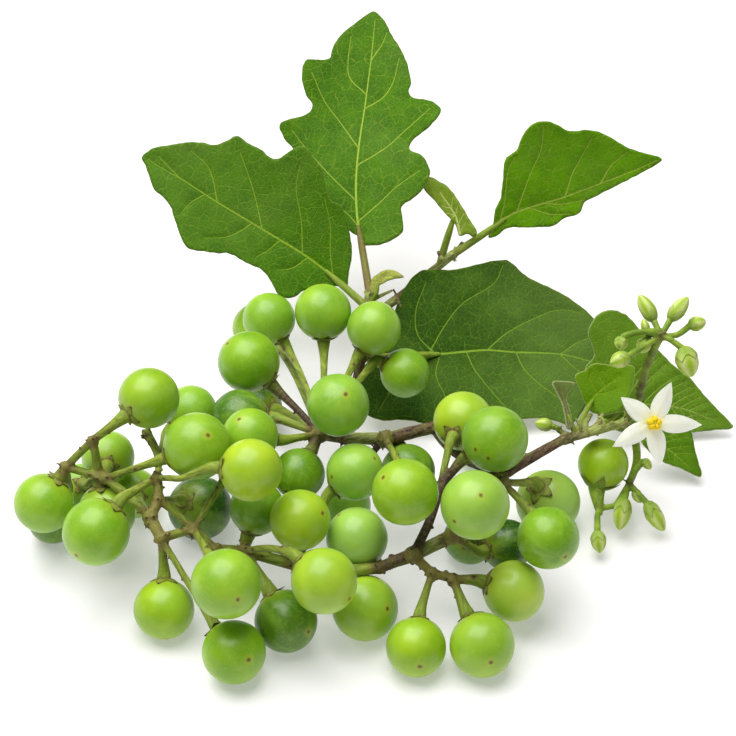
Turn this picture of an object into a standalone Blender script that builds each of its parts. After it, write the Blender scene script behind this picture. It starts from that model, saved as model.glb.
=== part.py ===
"""A picked spray of turkey berry, Solanum torvum, lying on a table.

Five bunches of green berries stand on branching stalks along one woody stem. The stem also
carries lobed leaves, two sprays of buds, an unripe berry and one open flower.
Units are metres, +Z is up and +Y runs away from the viewer. The origin is the middle of the
spray's bounding box, at table height.

The places are read from a photograph: a picture point and a height above the table give a
place in space, because the eye's own place is known.
"""

import math
from collections import namedtuple
from itertools import combinations

import bmesh
import bpy
from mathutils import Matrix, Vector
from mathutils.geometry import delaunay_2d_cdt

MM = 0.001

# The eye: a 105 mm lens on a 36 mm wide picture, tilted down at the spray.
PICTURE = 736
LENS = 105 / 36 * PICTURE
TILT = math.radians(40)
AIM = Vector((-4.36, 3.12, 13)) * MM
EYE_AWAY = 470 * MM
FORWARD = Vector((0, math.cos(TILT), -math.sin(TILT)))
UPWARD = Vector((0, math.sin(TILT), math.cos(TILT)))
SIDEWAYS = Vector((1, 0, 0))
EYE = AIM - EYE_AWAY * FORWARD

# Driving sizes, in millimetres.
GAP = 0.3
BERRY_SIDES = 10
BERRY_RINGS = 5
REST_SPOT_DEPTH = 0.25
CALYX_LIFT = 0.8
STALK_DEPTH = 1.2
STALK_RADIUS = 0.75
STALK_END_RADIUS = 1.55
STALK_STEP = 5.5
STALK_ROOM = 0.8
KNOB_SWELL = 1.25
LEAF_STALK_RADII = (0.6, 0.95)
BLADE_THICKNESS = 0.7
BLADE_STEP = 21
PETAL_THICKNESS = 0.6
REST = 0

# Joints of the stem and the stalks: picture point, height and the radius of the knob there,
# if any. A crown is the knob on the near side of the stem from which a bunch spreads.
HUBS = {
    "stem_tip": (626, 421, 21, 1.0),
    "bud_fork": (566, 438, 20, 1.3),
    "right_fork": (500, 476, 20, 1.1),
    "under_fork": (452, 536, 16, 1.1),
    "front_fork": (413, 555, 14, 1.1),
    "stem_end": (393, 562, 13, 1.2),
    "front_turn": (375, 570, 12, 1.2),
    "low_middle": (295, 565, 11, 1.2),
    "left_end": (245, 551, 13, 1.3),
    "back_turn": (435, 427, 19, 1.3),
    "middle_hub": (385, 439, 20, 1.1),
    "top_hub": (320, 434, 20, 1.1),
    "shoot_foot": (345, 438, 20, 1.3),
    "shoot_fork": (368, 318, 20, 1.2),
    "leaf_fork": (370, 297, 24, 1.2),
    "shoot_node": (361, 358, 17.5, 1.2),
    "right_shoot": (452, 255, 23, 1.0),
    "spray_node": (613, 426, 20.5, 0),
    "far_node": (587, 433, 20, 0),
    "dry_node": (576, 436, 20, 0),
    "left_node": (368, 308, 22, 0),
    "young_node": (440, 265, 19, 0),
    "right_crown": (500, 476, 22, 1.7),
    "under_crown": (452, 536, 18, 1.7),
    "front_crown": (413, 555, 16, 1.7),
    "middle_crown": (385, 439, 22, 1.7),
    "top_crown": (320, 434, 22, 1.8),
    "left_turn": (214, 549, 15, 1.1),
    "left_low": (194, 529, 18, 1.2),
    "left_corner": (161, 538, 18, 1.3),
    "left_hub": (150, 517, 20, 1.5),
    "left_side": (158, 500, 21.5, 1.1),
    "left_top": (157, 478, 24, 1.2),
    "left_cross": (105, 478, 21, 1.2),
    "far_left": (66, 467, 22, 1.2),
    "far_joint": (93, 440, 28, 0.95),
    "front_low": (432, 573, 13, 1.2),
    "front_pair": (453, 579, 12, 1.2),
    "middle_right": (440, 487, 21, 1.2),
}

# The woody stem's runs, from hub to hub, with what they pass on the way.
STEM_RUNS = [
    (["stem_tip", "spray_node", "far_node", "dry_node", "bud_fork"], 0.85, 1.05),
    (["bud_fork", (540, 450, 20), "right_fork"], 1.05, 1.25),
    (["right_fork", (476, 512, 17), "under_fork"], 1.25, 1.4),
    (["under_fork", "front_fork"], 1.4, 1.4),
    (["front_fork", "stem_end"], 1.4, 1.25),
    (["right_fork", (470, 445, 19), "back_turn"], 1.25, 1.35),
    (["back_turn", (405, 431, 20), "middle_hub"], 1.35, 1.35),
    (["middle_hub", "shoot_foot"], 1.35, 1.25),
    (["shoot_foot", "top_hub"], 1.25, 1.3),
    (["shoot_foot", (356, 395, 16), "shoot_node"], 1.2, 1.1),
    (["shoot_node", "shoot_fork"], 1.1, 1.1),
    (["shoot_fork", "left_node", "leaf_fork"], 1.1, 1.0),
    (["shoot_fork", (400, 299, 13.5), (420, 281, 15.5), "young_node", "right_shoot"],
     1.0, 1.0),
]

# Branches of each bunch, and its berries: picture point, diameter, height, stalk.
BUNCHES = {
    "bunch_left": {
        "branches": [
            (["stem_end", "front_turn"], 1.2, 1.2),
            (["front_turn", (335, 570, 11), "low_middle"], 1.2, 1.2),
            (["low_middle", "left_end"], 1.2, 1.2),
            (["left_end", (230, 547, 14), "left_turn"], 1.1, 1.0),
            (["left_turn", "left_low"], 1.0, 0.95),
            (["left_low", (178, 531, 18), "left_corner"], 0.9, 1.0),
            (["left_corner", "left_hub"], 1.15, 1.25),
            (["left_hub", "left_side", "left_top"], 1.1, 0.9),
            (["left_side", (176, 504, 17.5), (187, 519, 17.5), "left_low"], 0.75, 0.75),
            (["left_low", (205, 508, 19), (214, 487, 21.5), (228, 474, 22)], 0.6, 1.0),
            (["left_top", (167, 455, 19), (163, 442, 21), (147, 434, 22)], 0.6, 1.0),
            (["left_hub", (128, 499, 15), "left_cross"], 0.9, 0.9),
            (["left_cross", (84, 473, 21), "far_left"], 0.85, 0.85),
            (["far_left", (72, 452, 25), "far_joint"], 0.85, 0.8),
        ],
        "berries": [
            (149, 398, 12.5, 33, ["far_joint", (112, 426, 31.5)]),
            (191, 411, 11.0, 21, ["left_top", (160, 455, 20), (163, 437, 17)]),
            (108, 457, 11.2, 16, ["left_cross"]),
            (197, 446, 13.6, 31, ["left_cross", (125, 471, 24), (142, 467, 27)]),
            (44, 503, 12.3, 14, ["far_left"]),
            (53, 518, 10.8, REST, ["far_left", (71, 482, 11.5)]),
            (96, 532, 13.5, 20, ["left_top", (137, 486, 25), (122, 498, 25)]),
            (107, 512, 12.0, 13, ["far_joint", (97, 460, 24.5), (99, 477, 20)]),
            (80, 486, 9.8, REST, ["left_cross", (92, 480, 16)]),
            (134, 493, 10.8, REST, ["left_hub"]),
            (200, 508, 13.5, REST, ["left_side", (168, 499, 18), (178, 499, 13)]),
            (251, 470, 12.4, 33, ["left_top", (184, 471, 31), (206, 467, 34)]),
            (164, 609, 12.2, REST, ["left_corner", (164, 560, 13)]),
            (226, 584, 13.7, 21.5, ["left_low", (204, 546, 20)]),
            (234, 652, 12.6, REST, ["left_corner", (173, 562, 14), (190, 590, 10)]),
            (257, 508, 11.2, 19, ["left_end", (247, 538, 12.5)]),
            (300, 520, 12.2, 18, ["low_middle"]),
            (357, 538, 12.5, 15, ["front_turn", (374, 561, 9.5)]),
            (324, 581, 13.0, 20, ["left_end", (262, 541, 18), (283, 545, 23)]),
            (286, 621, 12.6, REST, ["left_end", (262, 578, 11)]),
            (365, 608, 13.3, REST, ["low_middle", (318, 585, 7)]),
            (355, 472, 11.7, 23, ["low_middle", (311, 532, 14), (326, 497, 18.5)]),
        ],
    },
    "bunch_top": {
        "branches": [],
        "berries": [
            (249, 362, 13.2, 27, ["top_crown", (300, 409, 22.5), (284, 397, 21.5)]),
            (269, 319, 11.6, 24, ["top_crown", (308, 384, 21), (294, 358, 17.5)]),
            (323, 312, 12.4, 28, ["top_crown", (325, 380, 20.5), (324, 360, 19)]),
            (374, 328, 11.7, 26, ["top_crown", (343, 385, 21.5), (353, 364, 21)]),
            (405, 373, 10.8, 18, ["top_crown", (365, 375, 18), (380, 362, 20)]),
            (338, 405, 12.8, 33, ["top_crown", (326, 425, 22)]),
            (257, 328, 11.5, REST, ["top_crown", (302, 390, 15), (285, 352, 12)]),
            (240, 418, 12.1, 21, ["top_crown", (296, 424, 21), (276, 418, 22)]),
            (250, 436, 11.5, 26, ["top_crown", (300, 438, 22), (282, 440, 24)]),
            (258, 408, 10.9, REST, ["top_crown", (288, 412, 9)]),
            (299, 474, 10.7, 19, ["top_crown"]),
        ],
    },
    "bunch_middle": {
        "branches": [],
        "berries": [
            (405, 492, 13.2, 30, ["middle_crown", (400, 449, 23)]),
            (408, 471, 11.3, 16, ["middle_crown", (400, 445, 17)]),
            (345, 505, 11.0, REST, ["middle_crown", (360, 462, 13)]),
        ],
    },
    "bunch_front": {
        "branches": [
            (["front_crown", (423, 563, 15), "front_low"], 1.0, 0.9),
            (["front_low", "front_pair"], 0.9, 0.9),
            (["front_crown", (424, 541, 17), (437, 520, 20), "middle_right"], 1.0, 0.9),
        ],
        "berries": [
            (416, 647, 11.9, REST, ["front_low", (424, 584, 12)]),
            (482, 645, 12.9, REST, ["front_pair", (458, 595, 11)]),
            (514, 591, 12.3, REST, ["front_pair", (470, 578, 12)]),
            (495, 439, 13.5, 29, ["middle_right", (452, 467, 23)]),
            (463, 421, 12.4, 25, ["middle_right", (443, 460, 24), (449, 443, 26)]),
            (478, 441, 12.0, REST, ["middle_right", (456, 466, 12)]),
        ],
    },
    "bunch_under": {
        "branches": [],
        "berries": [
            (475, 505, 13.6, 29, ["under_crown"]),
            (470, 538, 11.0, REST, ["under_crown", (470, 548, 14)]),
            (507, 545, 10.6, REST, ["under_crown", (474, 553, 12)]),
        ],
    },
    "bunch_right": {
        "branches": [],
        "berries": [
            (548, 538, 12.5, 14, ["right_crown", (513, 490, 18), (527, 504, 18)]),
            (548, 502, 13.7, REST, ["right_crown", (518, 477, 18), (533, 479, 15.5)]),
        ],
    },
}


# Leaves: the outline and midrib as picture points, three picture points with heights that the
# blade's plane goes through, how far the halves fold up and the edge waves (in millimetres),
# and the stalk from the blade to its hub. A stop without a height lies on the blade.
LEAVES = {
    "leaf_left": {
        "outline": [
            (346, 287), (334, 286), (318, 288), (303, 291), (295, 297), (285, 298), (278, 294),
            (272, 283), (263, 271), (245, 262), (230, 254), (215, 253), (200, 251), (188, 248),
            (181, 237), (174, 217), (171, 207), (163, 197), (154, 189), (149, 175), (145, 165),
            (142, 157), (147, 152), (154, 148), (165, 146), (190, 142), (205, 143), (216, 145), (228, 140), (238, 136),
            (250, 144), (262, 150), (271, 158), (280, 158), (290, 151), (304, 146), (314, 158),
            (322, 170), (326, 188), (331, 200), (342, 207), (349, 230), (352, 252), (349, 272),
        ],
        "midrib": [(346, 287), (330, 274), (303, 254), (262, 229), (217, 202), (180, 178)],
        "plane": [(345, 287, 24), (142, 157, 42), (304, 146, 47)],
        "fold": 2.0, "wave": 1.2,
        "stalk": [(325, 270), (345, 286), (356, 298, 24.5), "left_node"],
    },
    "leaf_upright": {
        "outline": [
            (362, 244), (378, 245), (392, 240), (403, 231), (402, 217), (402, 206), (412, 199),
            (422, 190), (430, 174), (427, 163), (421, 155), (411, 151), (410, 144), (419, 135),
            (430, 126), (441, 112), (436, 104), (426, 100), (413, 98), (409, 91), (411, 80),
            (407, 63), (400, 48), (391, 34), (385, 22), (375, 12), (367, 15), (352, 26),
            (340, 36), (333, 48), (330, 58), (322, 60), (306, 61), (302, 77), (306, 95),
            (312, 104), (311, 111), (303, 116), (281, 123), (282, 134), (292, 148), (302, 158),
            (312, 172), (320, 190), (330, 205), (340, 220), (351, 232), (358, 236),
        ],
        "midrib": [(362, 244), (357, 215), (356, 180), (359, 145), (365, 105), (371, 60)],
        "plane": [(362, 243, 30), (375, 12, 58), (281, 123, 43)],
        "fold": 2.5, "wave": 1.5,
        "stalk": [(358, 225), (362, 243), (365, 262, 28), "leaf_fork"],
    },
    "leaf_right": {
        "outline": [
            (489, 238), (493, 226), (495, 211), (501, 197), (503, 178), (505, 160), (510, 155),
            (517, 150), (521, 139), (527, 129), (535, 123), (546, 121), (558, 125), (570, 131),
            (588, 130), (605, 134), (625, 146), (640, 152), (662, 159), (645, 171), (620, 184),
            (598, 195), (585, 202), (579, 213), (563, 219), (552, 226), (530, 227), (508, 228),
            (498, 235),
        ],
        "midrib": [(489, 236), (500, 222), (515, 213), (538, 205), (565, 197), (610, 180)],
        "plane": [(490, 236, 27), (662, 159, 40), (545, 121, 50)],
        "fold": 2.0, "wave": 1.0,
        "stalk": [(506, 218), (490, 234), (470, 245, 25), "right_shoot"],
    },
    "leaf_young": {
        "outline": [
            (459, 235), (455, 224), (444, 212), (432, 198), (423, 187), (428, 177), (440, 182),
            (450, 189), (458, 200), (465, 212), (471, 222), (477, 231), (474, 237), (467, 234),
        ],
        "midrib": [(460, 234), (455, 215), (440, 192)],
        "plane": [(460, 234, 28), (424, 181, 36), (471, 215, 31)],
        "fold": 2.0, "wave": 0.3,
        "stalk": [(454, 216), (457, 233), (448, 248, 26), "young_node"],
    },
    "leaf_broad": {
        "outline": [
            (374, 352), (384, 338), (391, 322), (396, 308), (403, 291), (412, 278), (422, 271),
            (437, 270), (455, 270), (480, 264), (502, 260), (510, 262), (521, 272), (532, 280),
            (550, 288), (565, 296), (580, 306), (593, 318), (604, 335), (610, 358), (603, 382),
            (590, 400), (572, 424), (556, 421), (540, 418), (515, 420), (490, 424), (460, 425),
            (430, 424), (405, 420), (380, 420), (362, 410), (357, 390), (364, 368),
        ],
        "midrib": [(428, 355), (460, 352), (487, 350), (515, 352), (560, 354), (590, 361)],
        "plane": [(428, 354, 10.5), (610, 362, 9.5), (502, 259, 21)],
        "fold": 1.6, "wave": 0.9,
        "stalk": [(440, 354), (425, 355), (395, 357, 14), "shoot_node"],
    },
    "leaf_far_right": {
        "outline": [
            (603, 421), (592, 404), (586, 385), (585, 368), (594, 355), (588, 335), (592, 322),
            (600, 313), (612, 310), (626, 315), (640, 330), (655, 346), (672, 364), (690, 378),
            (705, 396), (719, 411), (733, 427), (715, 430), (697, 432), (675, 434), (650, 432),
            (625, 430),
        ],
        "midrib": [(603, 421), (640, 405), (680, 408), (715, 421)],
        "plane": [(595, 350, 16), (733, 427, 3), (612, 310, 22)],
        "fold": 0.8, "wave": 0.5,
        "stalk": [(620, 412), (606, 420), (597, 428, 12), "far_node"],
    },
    "leaf_corner": {
        "outline": [
            (640, 437), (655, 428), (672, 424), (688, 425), (693, 440), (697, 458), (701, 477),
            (682, 469), (664, 462), (650, 452),
        ],
        "midrib": [(641, 438), (665, 447), (688, 466)],
        "plane": [(640, 437, 8), (701, 477, 2.5), (688, 425, 8.5)],
        "fold": 0.5, "wave": 0.2,
        "stalk": [(654, 440), (643, 437), (628, 433, 12), "spray_node"],
    },
    "leaf_underside": {
        "outline": [
            (600, 415), (590, 411), (584, 402), (580, 390), (575, 376), (584, 371), (594, 364),
            (612, 365), (633, 366), (634, 380), (630, 394), (621, 410), (610, 414),
        ],
        "midrib": [(586, 407), (598, 393), (620, 376)],
        "plane": [(575, 376, 15.5), (632, 365, 18.5), (600, 412, 11.5)],
        "fold": 0.6, "wave": 0.3,
        "stalk": [(593, 400), (586, 408), (578, 423, 17), "dry_node"],
    },
    "leaf_dry": {
        "outline": [
            (567, 428), (564, 412), (560, 400), (552, 384), (558, 381), (575, 383), (571, 389),
            (567, 398), (570, 410), (572, 420), (572, 428),
        ],
        "midrib": [(569, 427), (567, 410), (562, 392)],
        "plane": [(569, 428, 22), (552, 382, 28), (575, 383, 27)],
        "fold": 0.4, "wave": 0.0,
        "stalk": [(568, 414), (570, 426), "dry_node"],
    },
    "leaf_sprout": {
        "outline": [
            (371, 293), (370, 285), (374, 277), (383, 271), (393, 270), (404, 277), (394, 279),
            (385, 282), (378, 287), (375, 293),
        ],
        "midrib": [(373, 291), (376, 281), (388, 275)],
        "plane": [(373, 291, 26.5), (404, 277, 30), (383, 271, 30)],
        "fold": 0.4, "wave": 0.0,
        "stalk": [(378, 282), (378, 294, 26), "left_node"],
    },
}

# Buds: where the calyx starts, the bud's tip, its height there, its greatest radius (mm) and
# its stalk from the spray's own fork.
BUD_SPRAYS = {
    "bud_spray_upper": {
        "fork": (661, 336, 46),
        "stem": ["stem_tip", (637, 402, 26), (646, 368, 37), (653, 351, 42)],
        "radius": 0.9,
        "buds": [
            ((655, 322), (639, 295), 49, 1.6, []),
            ((669, 321), (688, 297), 49, 1.6, []),
            ((688, 326), (706, 321), 46, 1.5, [(677, 335, 46)]),
            ((683, 346), (692, 377), 43, 2.3, [(671, 340, 46)]),
            ((646, 338), (641, 353), 44, 1.5, [(653, 333, 46)]),
            ((622, 336), (620, 350), 45, 1.4, [(648, 332, 47), (634, 333, 47)]),
            ((630, 356), (610, 364), 44, 1.7, [(646, 345, 45)]),
            ((647, 333), (643, 319), 47, 0.9, [(654, 331, 47)]),
        ],
    },
    "bud_spray_lower": {
        "fork": (629, 483, 8),
        "stem": ["stem_tip", (634, 437, 16), (637, 456, 12), (634, 472, 9)],
        "radius": 0.9,
        "buds": [
            ((625, 497), (619, 530), 6, 1.9, [(627, 491, 7)]),
            ((646, 501), (664, 531), 5, 1.8, [(637, 492, 7)]),
            ((634, 489), (641, 503), 6, 1.1, []),
            ((597, 530), (600, 553), 4, 1.6, [(614, 506, 6), (599, 509, 6)]),
            ((643, 459), (651, 469), 12, 1.0, [(633, 474, 10)]),
        ],
    },
    "bud_side": {
        "fork": (559, 429, 21),
        "stem": ["bud_fork"],
        "radius": 0.6,
        "buds": [((553, 426), (535, 423), 21, 1.4, [])],
    },
}
UNRIPE_BERRY = (603, 464, 10.8, 11)
UNRIPE_CUP = [(597, 490, 7.5), (599, 509, 6), (600, 515, 5.6)]
UNRIPE_CUP_RADII = [2.6, 1.8, 0.9, 0.6]

# The open flower: its middle, petal tips and size.
FLOWER_MIDDLE = (653, 423, 28)
FLOWER_NODE = (637, 402, 26)
PETAL_TIPS = [(613, 447), (621, 397), (672, 382), (703, 425), (661, 466)]
PETAL_HALF_WIDTH = 1.9
PETAL_SINK = 0.9
ANTHER_LENGTH = 3.2
ANTHER_RADIUS = 0.62
ANTHER_RING = 1.0
PETAL_NOTCH = 2.3
BUD_STALK_RADIUS = 0.55
CUP_RADIUS = 1.6


def sight(px, py):
    """The direction in which the eye sees a picture point."""
    middle = PICTURE / 2
    return FORWARD + (px - middle) / LENS * SIDEWAYS - (py - middle) / LENS * UPWARD


def spot(px, py, height):
    """The place that a picture point shows, this many millimetres above the table."""
    ray = sight(px, py)
    return EYE + ray * ((height * MM - EYE.z) / ray.z)


Ball = namedtuple("Ball", "place radius")


class Berry:
    """A round berry, which can slide along the line on which the eye sees it."""

    def __init__(self, px, py, diameter, height, stalk):
        self.radius = diameter / 2 * MM
        self.lowest = self.radius - REST_SPOT_DEPTH * MM
        self.ray = sight(px, py).normalized()
        self.place = spot(px, py, max(height, self.lowest / MM))
        self.stalk = stalk

    def slide(self, distance):
        """Move away from the eye, or nearer where negative, but not into the table."""
        self.place = self.place + self.ray * distance
        if self.place.z < self.lowest:
            self.place += self.ray * ((self.lowest - self.place.z) / self.ray.z)


def settle(berries, rounds=400):
    """Slide berries that run into each other apart, each along its own sight line."""
    for _ in range(rounds):
        for one, other in combinations(berries, 2):
            room = one.radius + other.radius + GAP * MM * 1.3
            lack = room - (one.place - other.place).length
            if lack > 0:
                near, far = sorted((one, other), key=lambda b: (b.place - EYE).length)
                near.slide(-lack / 2)
                far.slide(lack / 2)


def all_berries():
    """Every bunch's berries, settled together."""
    bunches = {name: [Berry(*row) for row in bunch["berries"]]
               for name, bunch in BUNCHES.items()}
    settle([berry for berries in bunches.values() for berry in berries])
    return bunches


def push_out(point, room, balls):
    """Move a point out of the balls and up from the table."""
    for ball in balls:
        away = point - ball.place
        least = ball.radius + room
        if away.length < least:
            point = ball.place + away.normalized() * least
    point.z = max(point.z, room)
    return point


def clear_hubs(berries):
    """The hubs' places, moved out of any berry."""
    places = {}
    for name, (px, py, height, radius) in HUBS.items():
        place = spot(px, py, height)
        for _ in range(4):
            place = push_out(place, (radius * KNOB_SWELL + GAP) * MM, berries)
        places[name] = place
    return places


def stop_place(stop):
    """A hub by its name, or a picture point with a height."""
    return HUB_PLACES[stop] if isinstance(stop, str) else spot(*stop)


def between(a, b, c, d, t):
    """The point a share t of the way from b to c on a smooth curve past a, b, c and d."""
    return 0.5 * (2 * b + (c - a) * t + (2 * a - 5 * b + 4 * c - d) * t ** 2
                  + (3 * b - a - 3 * c + d) * t ** 3)


def curve_through(points, step):
    """Points about a step apart on a smooth open curve through the given points."""
    ends = [2 * points[0] - points[1]] + list(points) + [2 * points[-1] - points[-2]]
    line = []
    for a, b, c, d in zip(ends, ends[1:], ends[2:], ends[3:]):
        count = max(1, round((c - b).length / step))
        line += [between(a, b, c, d, i / count) for i in range(count)]
    return line + [points[-1].copy()]


def closed_curve(points, step):
    """Flat points about a step apart on a smooth closed curve through the given points."""
    flat = [Vector(p) for p in points]
    count = len(flat)
    line = []
    for i in range(count):
        a, b, c, d = (flat[(i + k) % count] for k in (-1, 0, 1, 2))
        parts = max(1, round((c - b).length / step))
        line += [between(a, b, c, d, k / parts) for k in range(parts)]
    return line


def stalk_line(points, radius, balls):
    """A smooth line through the points that goes round the balls; hubs stay in place."""
    line = curve_through(points, STALK_STEP * MM)
    room = (radius + STALK_ROOM) * MM
    loose = [i for i in range(1, len(line) - 1)
             if all((line[i] - hub).length > 0.01 * MM for hub in HUB_PLACES.values())]
    for _ in range(10):
        for i in loose:
            eased = line[i].lerp((line[i - 1] + line[i + 1]) / 2, 0.3)
            line[i] = push_out(eased, room, balls)
    return line


def new_object(name, mesh, collection):
    piece = bpy.data.objects.new(name, mesh)
    collection.objects.link(piece)
    return piece


def evaluated_mesh(piece):
    """A new mesh of an object as its modifiers leave it."""
    evaluated = piece.evaluated_get(bpy.context.evaluated_depsgraph_get())
    return bpy.data.meshes.new_from_object(evaluated)


def tube(line, radii, collection):
    """A closed tube along a line, with a radius in millimetres at each point."""
    curve = bpy.data.curves.new("tube", "CURVE")
    curve.dimensions = "3D"
    spline = curve.splines.new("POLY")
    spline.points.add(len(line) - 1)
    for point, place, radius in zip(spline.points, line, radii):
        point.co = (*place, 1)
        point.radius = radius
    curve.bevel_depth = MM
    curve.bevel_resolution = 1
    curve.use_fill_caps = True
    guide = new_object("tube_guide", curve, collection)
    mesh = evaluated_mesh(guide)
    piece = new_object("tube", mesh, collection)
    bpy.data.objects.remove(guide)
    bpy.data.curves.remove(curve)
    body = bmesh.new()
    body.from_mesh(mesh)
    bmesh.ops.remove_doubles(body, verts=body.verts, dist=0.001 * MM)
    bmesh.ops.recalc_face_normals(body, faces=body.faces)
    body.to_mesh(mesh)
    body.free()
    return piece


def taper(start, end, count):
    """Radii that run evenly from one to the other."""
    return [start + (end - start) * i / (count - 1) for i in range(count)]


def stalk_radii(count):
    """A berry's stalk is slim, then widens into the calyx over its last third."""
    widths = []
    for i in range(count):
        along = max(0, i / (count - 1) - 0.6) / 0.4
        widths.append(STALK_RADIUS + (STALK_END_RADIUS - STALK_RADIUS) * along ** 1.5)
    return widths


def mesh_from(body, name, collection):
    mesh = bpy.data.meshes.new(name)
    body.normal_update()
    bmesh.ops.recalc_face_normals(body, faces=body.faces)
    body.to_mesh(mesh)
    body.free()
    return new_object(name, mesh, collection)


def aim(place, direction):
    """The matrix that puts +Z along a direction, at a place."""
    return Matrix.Translation(place) @ direction.to_track_quat("Z", "Y").to_matrix().to_4x4()


def knob(name, collection, extra=0):
    """The swelling at a hub."""
    return small_ball(HUB_PLACES[name], HUBS[name][3] * KNOB_SWELL + extra, collection)


def small_ball(place, radius, collection):
    body = bmesh.new()
    bmesh.ops.create_icosphere(body, subdivisions=1, radius=radius * MM,
                               matrix=Matrix.Translation(place))
    return mesh_from(body, "knob", collection)


def berry_ball(berry, pole, collection):
    """The berry with its calyx star round the stalk, cut flat where it rests on the table."""
    body = bmesh.new()
    bmesh.ops.create_uvsphere(body, u_segments=BERRY_SIDES, v_segments=BERRY_RINGS,
                              radius=berry.radius)
    ring_height = berry.radius * math.cos(math.pi / BERRY_RINGS)
    top_ring = [v for v in body.verts if abs(v.co.z - ring_height) < 0.01 * MM]
    top_ring.sort(key=lambda v: math.atan2(v.co.y, v.co.x))
    for vert in top_ring[::2]:
        vert.co *= 1 + CALYX_LIFT * MM / berry.radius
    body.transform(aim(berry.place, pole))
    if berry.place.z < berry.radius:
        geometry = body.verts[:] + body.edges[:] + body.faces[:]
        cut = bmesh.ops.bisect_plane(body, geom=geometry, plane_co=(0, 0, 0),
                                     plane_no=(0, 0, 1), clear_inner=True)
        rim = [e for e in cut["geom_cut"] if isinstance(e, bmesh.types.BMEdge)]
        if rim:
            bmesh.ops.contextual_create(body, geom=rim)
    return mesh_from(body, "berry", collection)


def fuse(name, scraps, parts, material, cutters=()):
    """Join the scraps into one body, less what the cutters take away."""
    pieces = list(scraps.objects)
    whole = pieces[0]
    scraps.objects.unlink(whole)
    parts.objects.link(whole)
    if scraps.objects:
        union = whole.modifiers.new("union", "BOOLEAN")
        union.operation = "UNION"
        union.solver = "MANIFOLD"
        union.operand_type = "COLLECTION"
        union.collection = scraps
    for cutter in cutters:
        cut = whole.modifiers.new("gap", "BOOLEAN")
        cut.operation = "DIFFERENCE"
        cut.solver = "MANIFOLD"
        cut.object = cutter
    mesh = evaluated_mesh(whole)
    for piece in pieces:
        bpy.data.objects.remove(piece)
    mesh.name = name
    mesh.materials.clear()
    mesh.materials.append(material)
    return new_object(name, mesh, parts)


class Sheet:
    """A leaf's curved surface: it lifts picture points onto the leaf."""

    def __init__(self, leaf):
        foot, tip, side = [spot(*corner) for corner in leaf["plane"]]
        self.normal = (tip - foot).cross(side - foot).normalized()
        if self.normal.dot(FORWARD) > 0:
            self.normal = -self.normal
        self.foot = foot
        ribs = [self.on_plane(*point) for point in leaf["midrib"]]
        self.start = ribs[0]
        self.along = (ribs[-1] - ribs[0]).normalized()
        self.across = self.normal.cross(self.along)
        self.ribs = [((rib - self.start).dot(self.along), (rib - self.start).dot(self.across))
                     for rib in ribs]
        self.fold = leaf["fold"] * MM
        self.wave = leaf["wave"] * MM
        edge = [self.on_plane(*point) for point in leaf["outline"]]
        self.length = max((p - self.start).dot(self.along) for p in edge)
        self.half_width = max(abs((p - self.start).dot(self.across)) for p in edge)

    def on_plane(self, px, py):
        ray = sight(px, py)
        return EYE + ray * ((self.foot - EYE).dot(self.normal) / ray.dot(self.normal))

    def rib_at(self, u):
        """How far across the midrib runs at this distance along the leaf."""
        for (u0, v0), (u1, v1) in zip(self.ribs, self.ribs[1:]):
            if u <= u1:
                return v0 + (v1 - v0) * max(0, u - u0) / (u1 - u0)
        return self.ribs[-1][1]

    def lift(self, point):
        """The place on the curved leaf that a picture point shows."""
        flat = self.on_plane(*point)
        u = (flat - self.start).dot(self.along)
        v = ((flat - self.start).dot(self.across) - self.rib_at(u)) / self.half_width
        rise = self.fold * (abs(v) ** 1.5 - (u / self.length) ** 2)
        rise += self.wave * math.sin(7.5 * u / self.length + 2.5 * v) * abs(v)
        ray = sight(*point)
        return flat + ray * (rise / ray.dot(self.normal))


def is_inside(point, outline):
    inside = False
    for a, b in zip(outline, outline[1:] + outline[:1]):
        if (a.y > point.y) != (b.y > point.y):
            if point.x < a.x + (b.x - a.x) * (point.y - a.y) / (b.y - a.y):
                inside = not inside
    return inside


def grid_inside(outline, step):
    """A staggered grid of flat points that keeps clear of the outline."""
    left, right = min(p.x for p in outline), max(p.x for p in outline)
    bottom, top = min(p.y for p in outline), max(p.y for p in outline)
    row_step = step * 0.87
    points = []
    for row in range(1, int((top - bottom) / row_step) + 1):
        for column in range(int((right - left) / step) + 1):
            point = Vector((left + step * (column + 0.5 + 0.5 * (row % 2)),
                            bottom + row * row_step))
            clear = min((point - p).length for p in outline) > step * 0.6
            if clear and is_inside(point, outline):
                points.append(point)
    return points


def sheet_solid(outline, inner, lift, thickness, scraps):
    """A thin solid: flat points are joined into triangles, lifted and thickened."""
    loop = list(range(len(outline)))
    verts, _, faces, _, _, _ = delaunay_2d_cdt(outline + inner, [], [loop], 1, 1e-6)
    mesh = bpy.data.meshes.new("sheet")
    mesh.from_pydata([lift(p) for p in verts], [], [list(f) for f in faces])
    piece = new_object("sheet", mesh, scraps)
    thicken = piece.modifiers.new("thickness", "SOLIDIFY")
    thicken.thickness = thickness * MM
    thicken.offset = 0
    solid = evaluated_mesh(piece)
    bpy.data.objects.remove(piece)
    body = bmesh.new()
    body.from_mesh(solid)
    bmesh.ops.triangulate(body, faces=body.faces)
    return mesh_from(body, "sheet", scraps)


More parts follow.
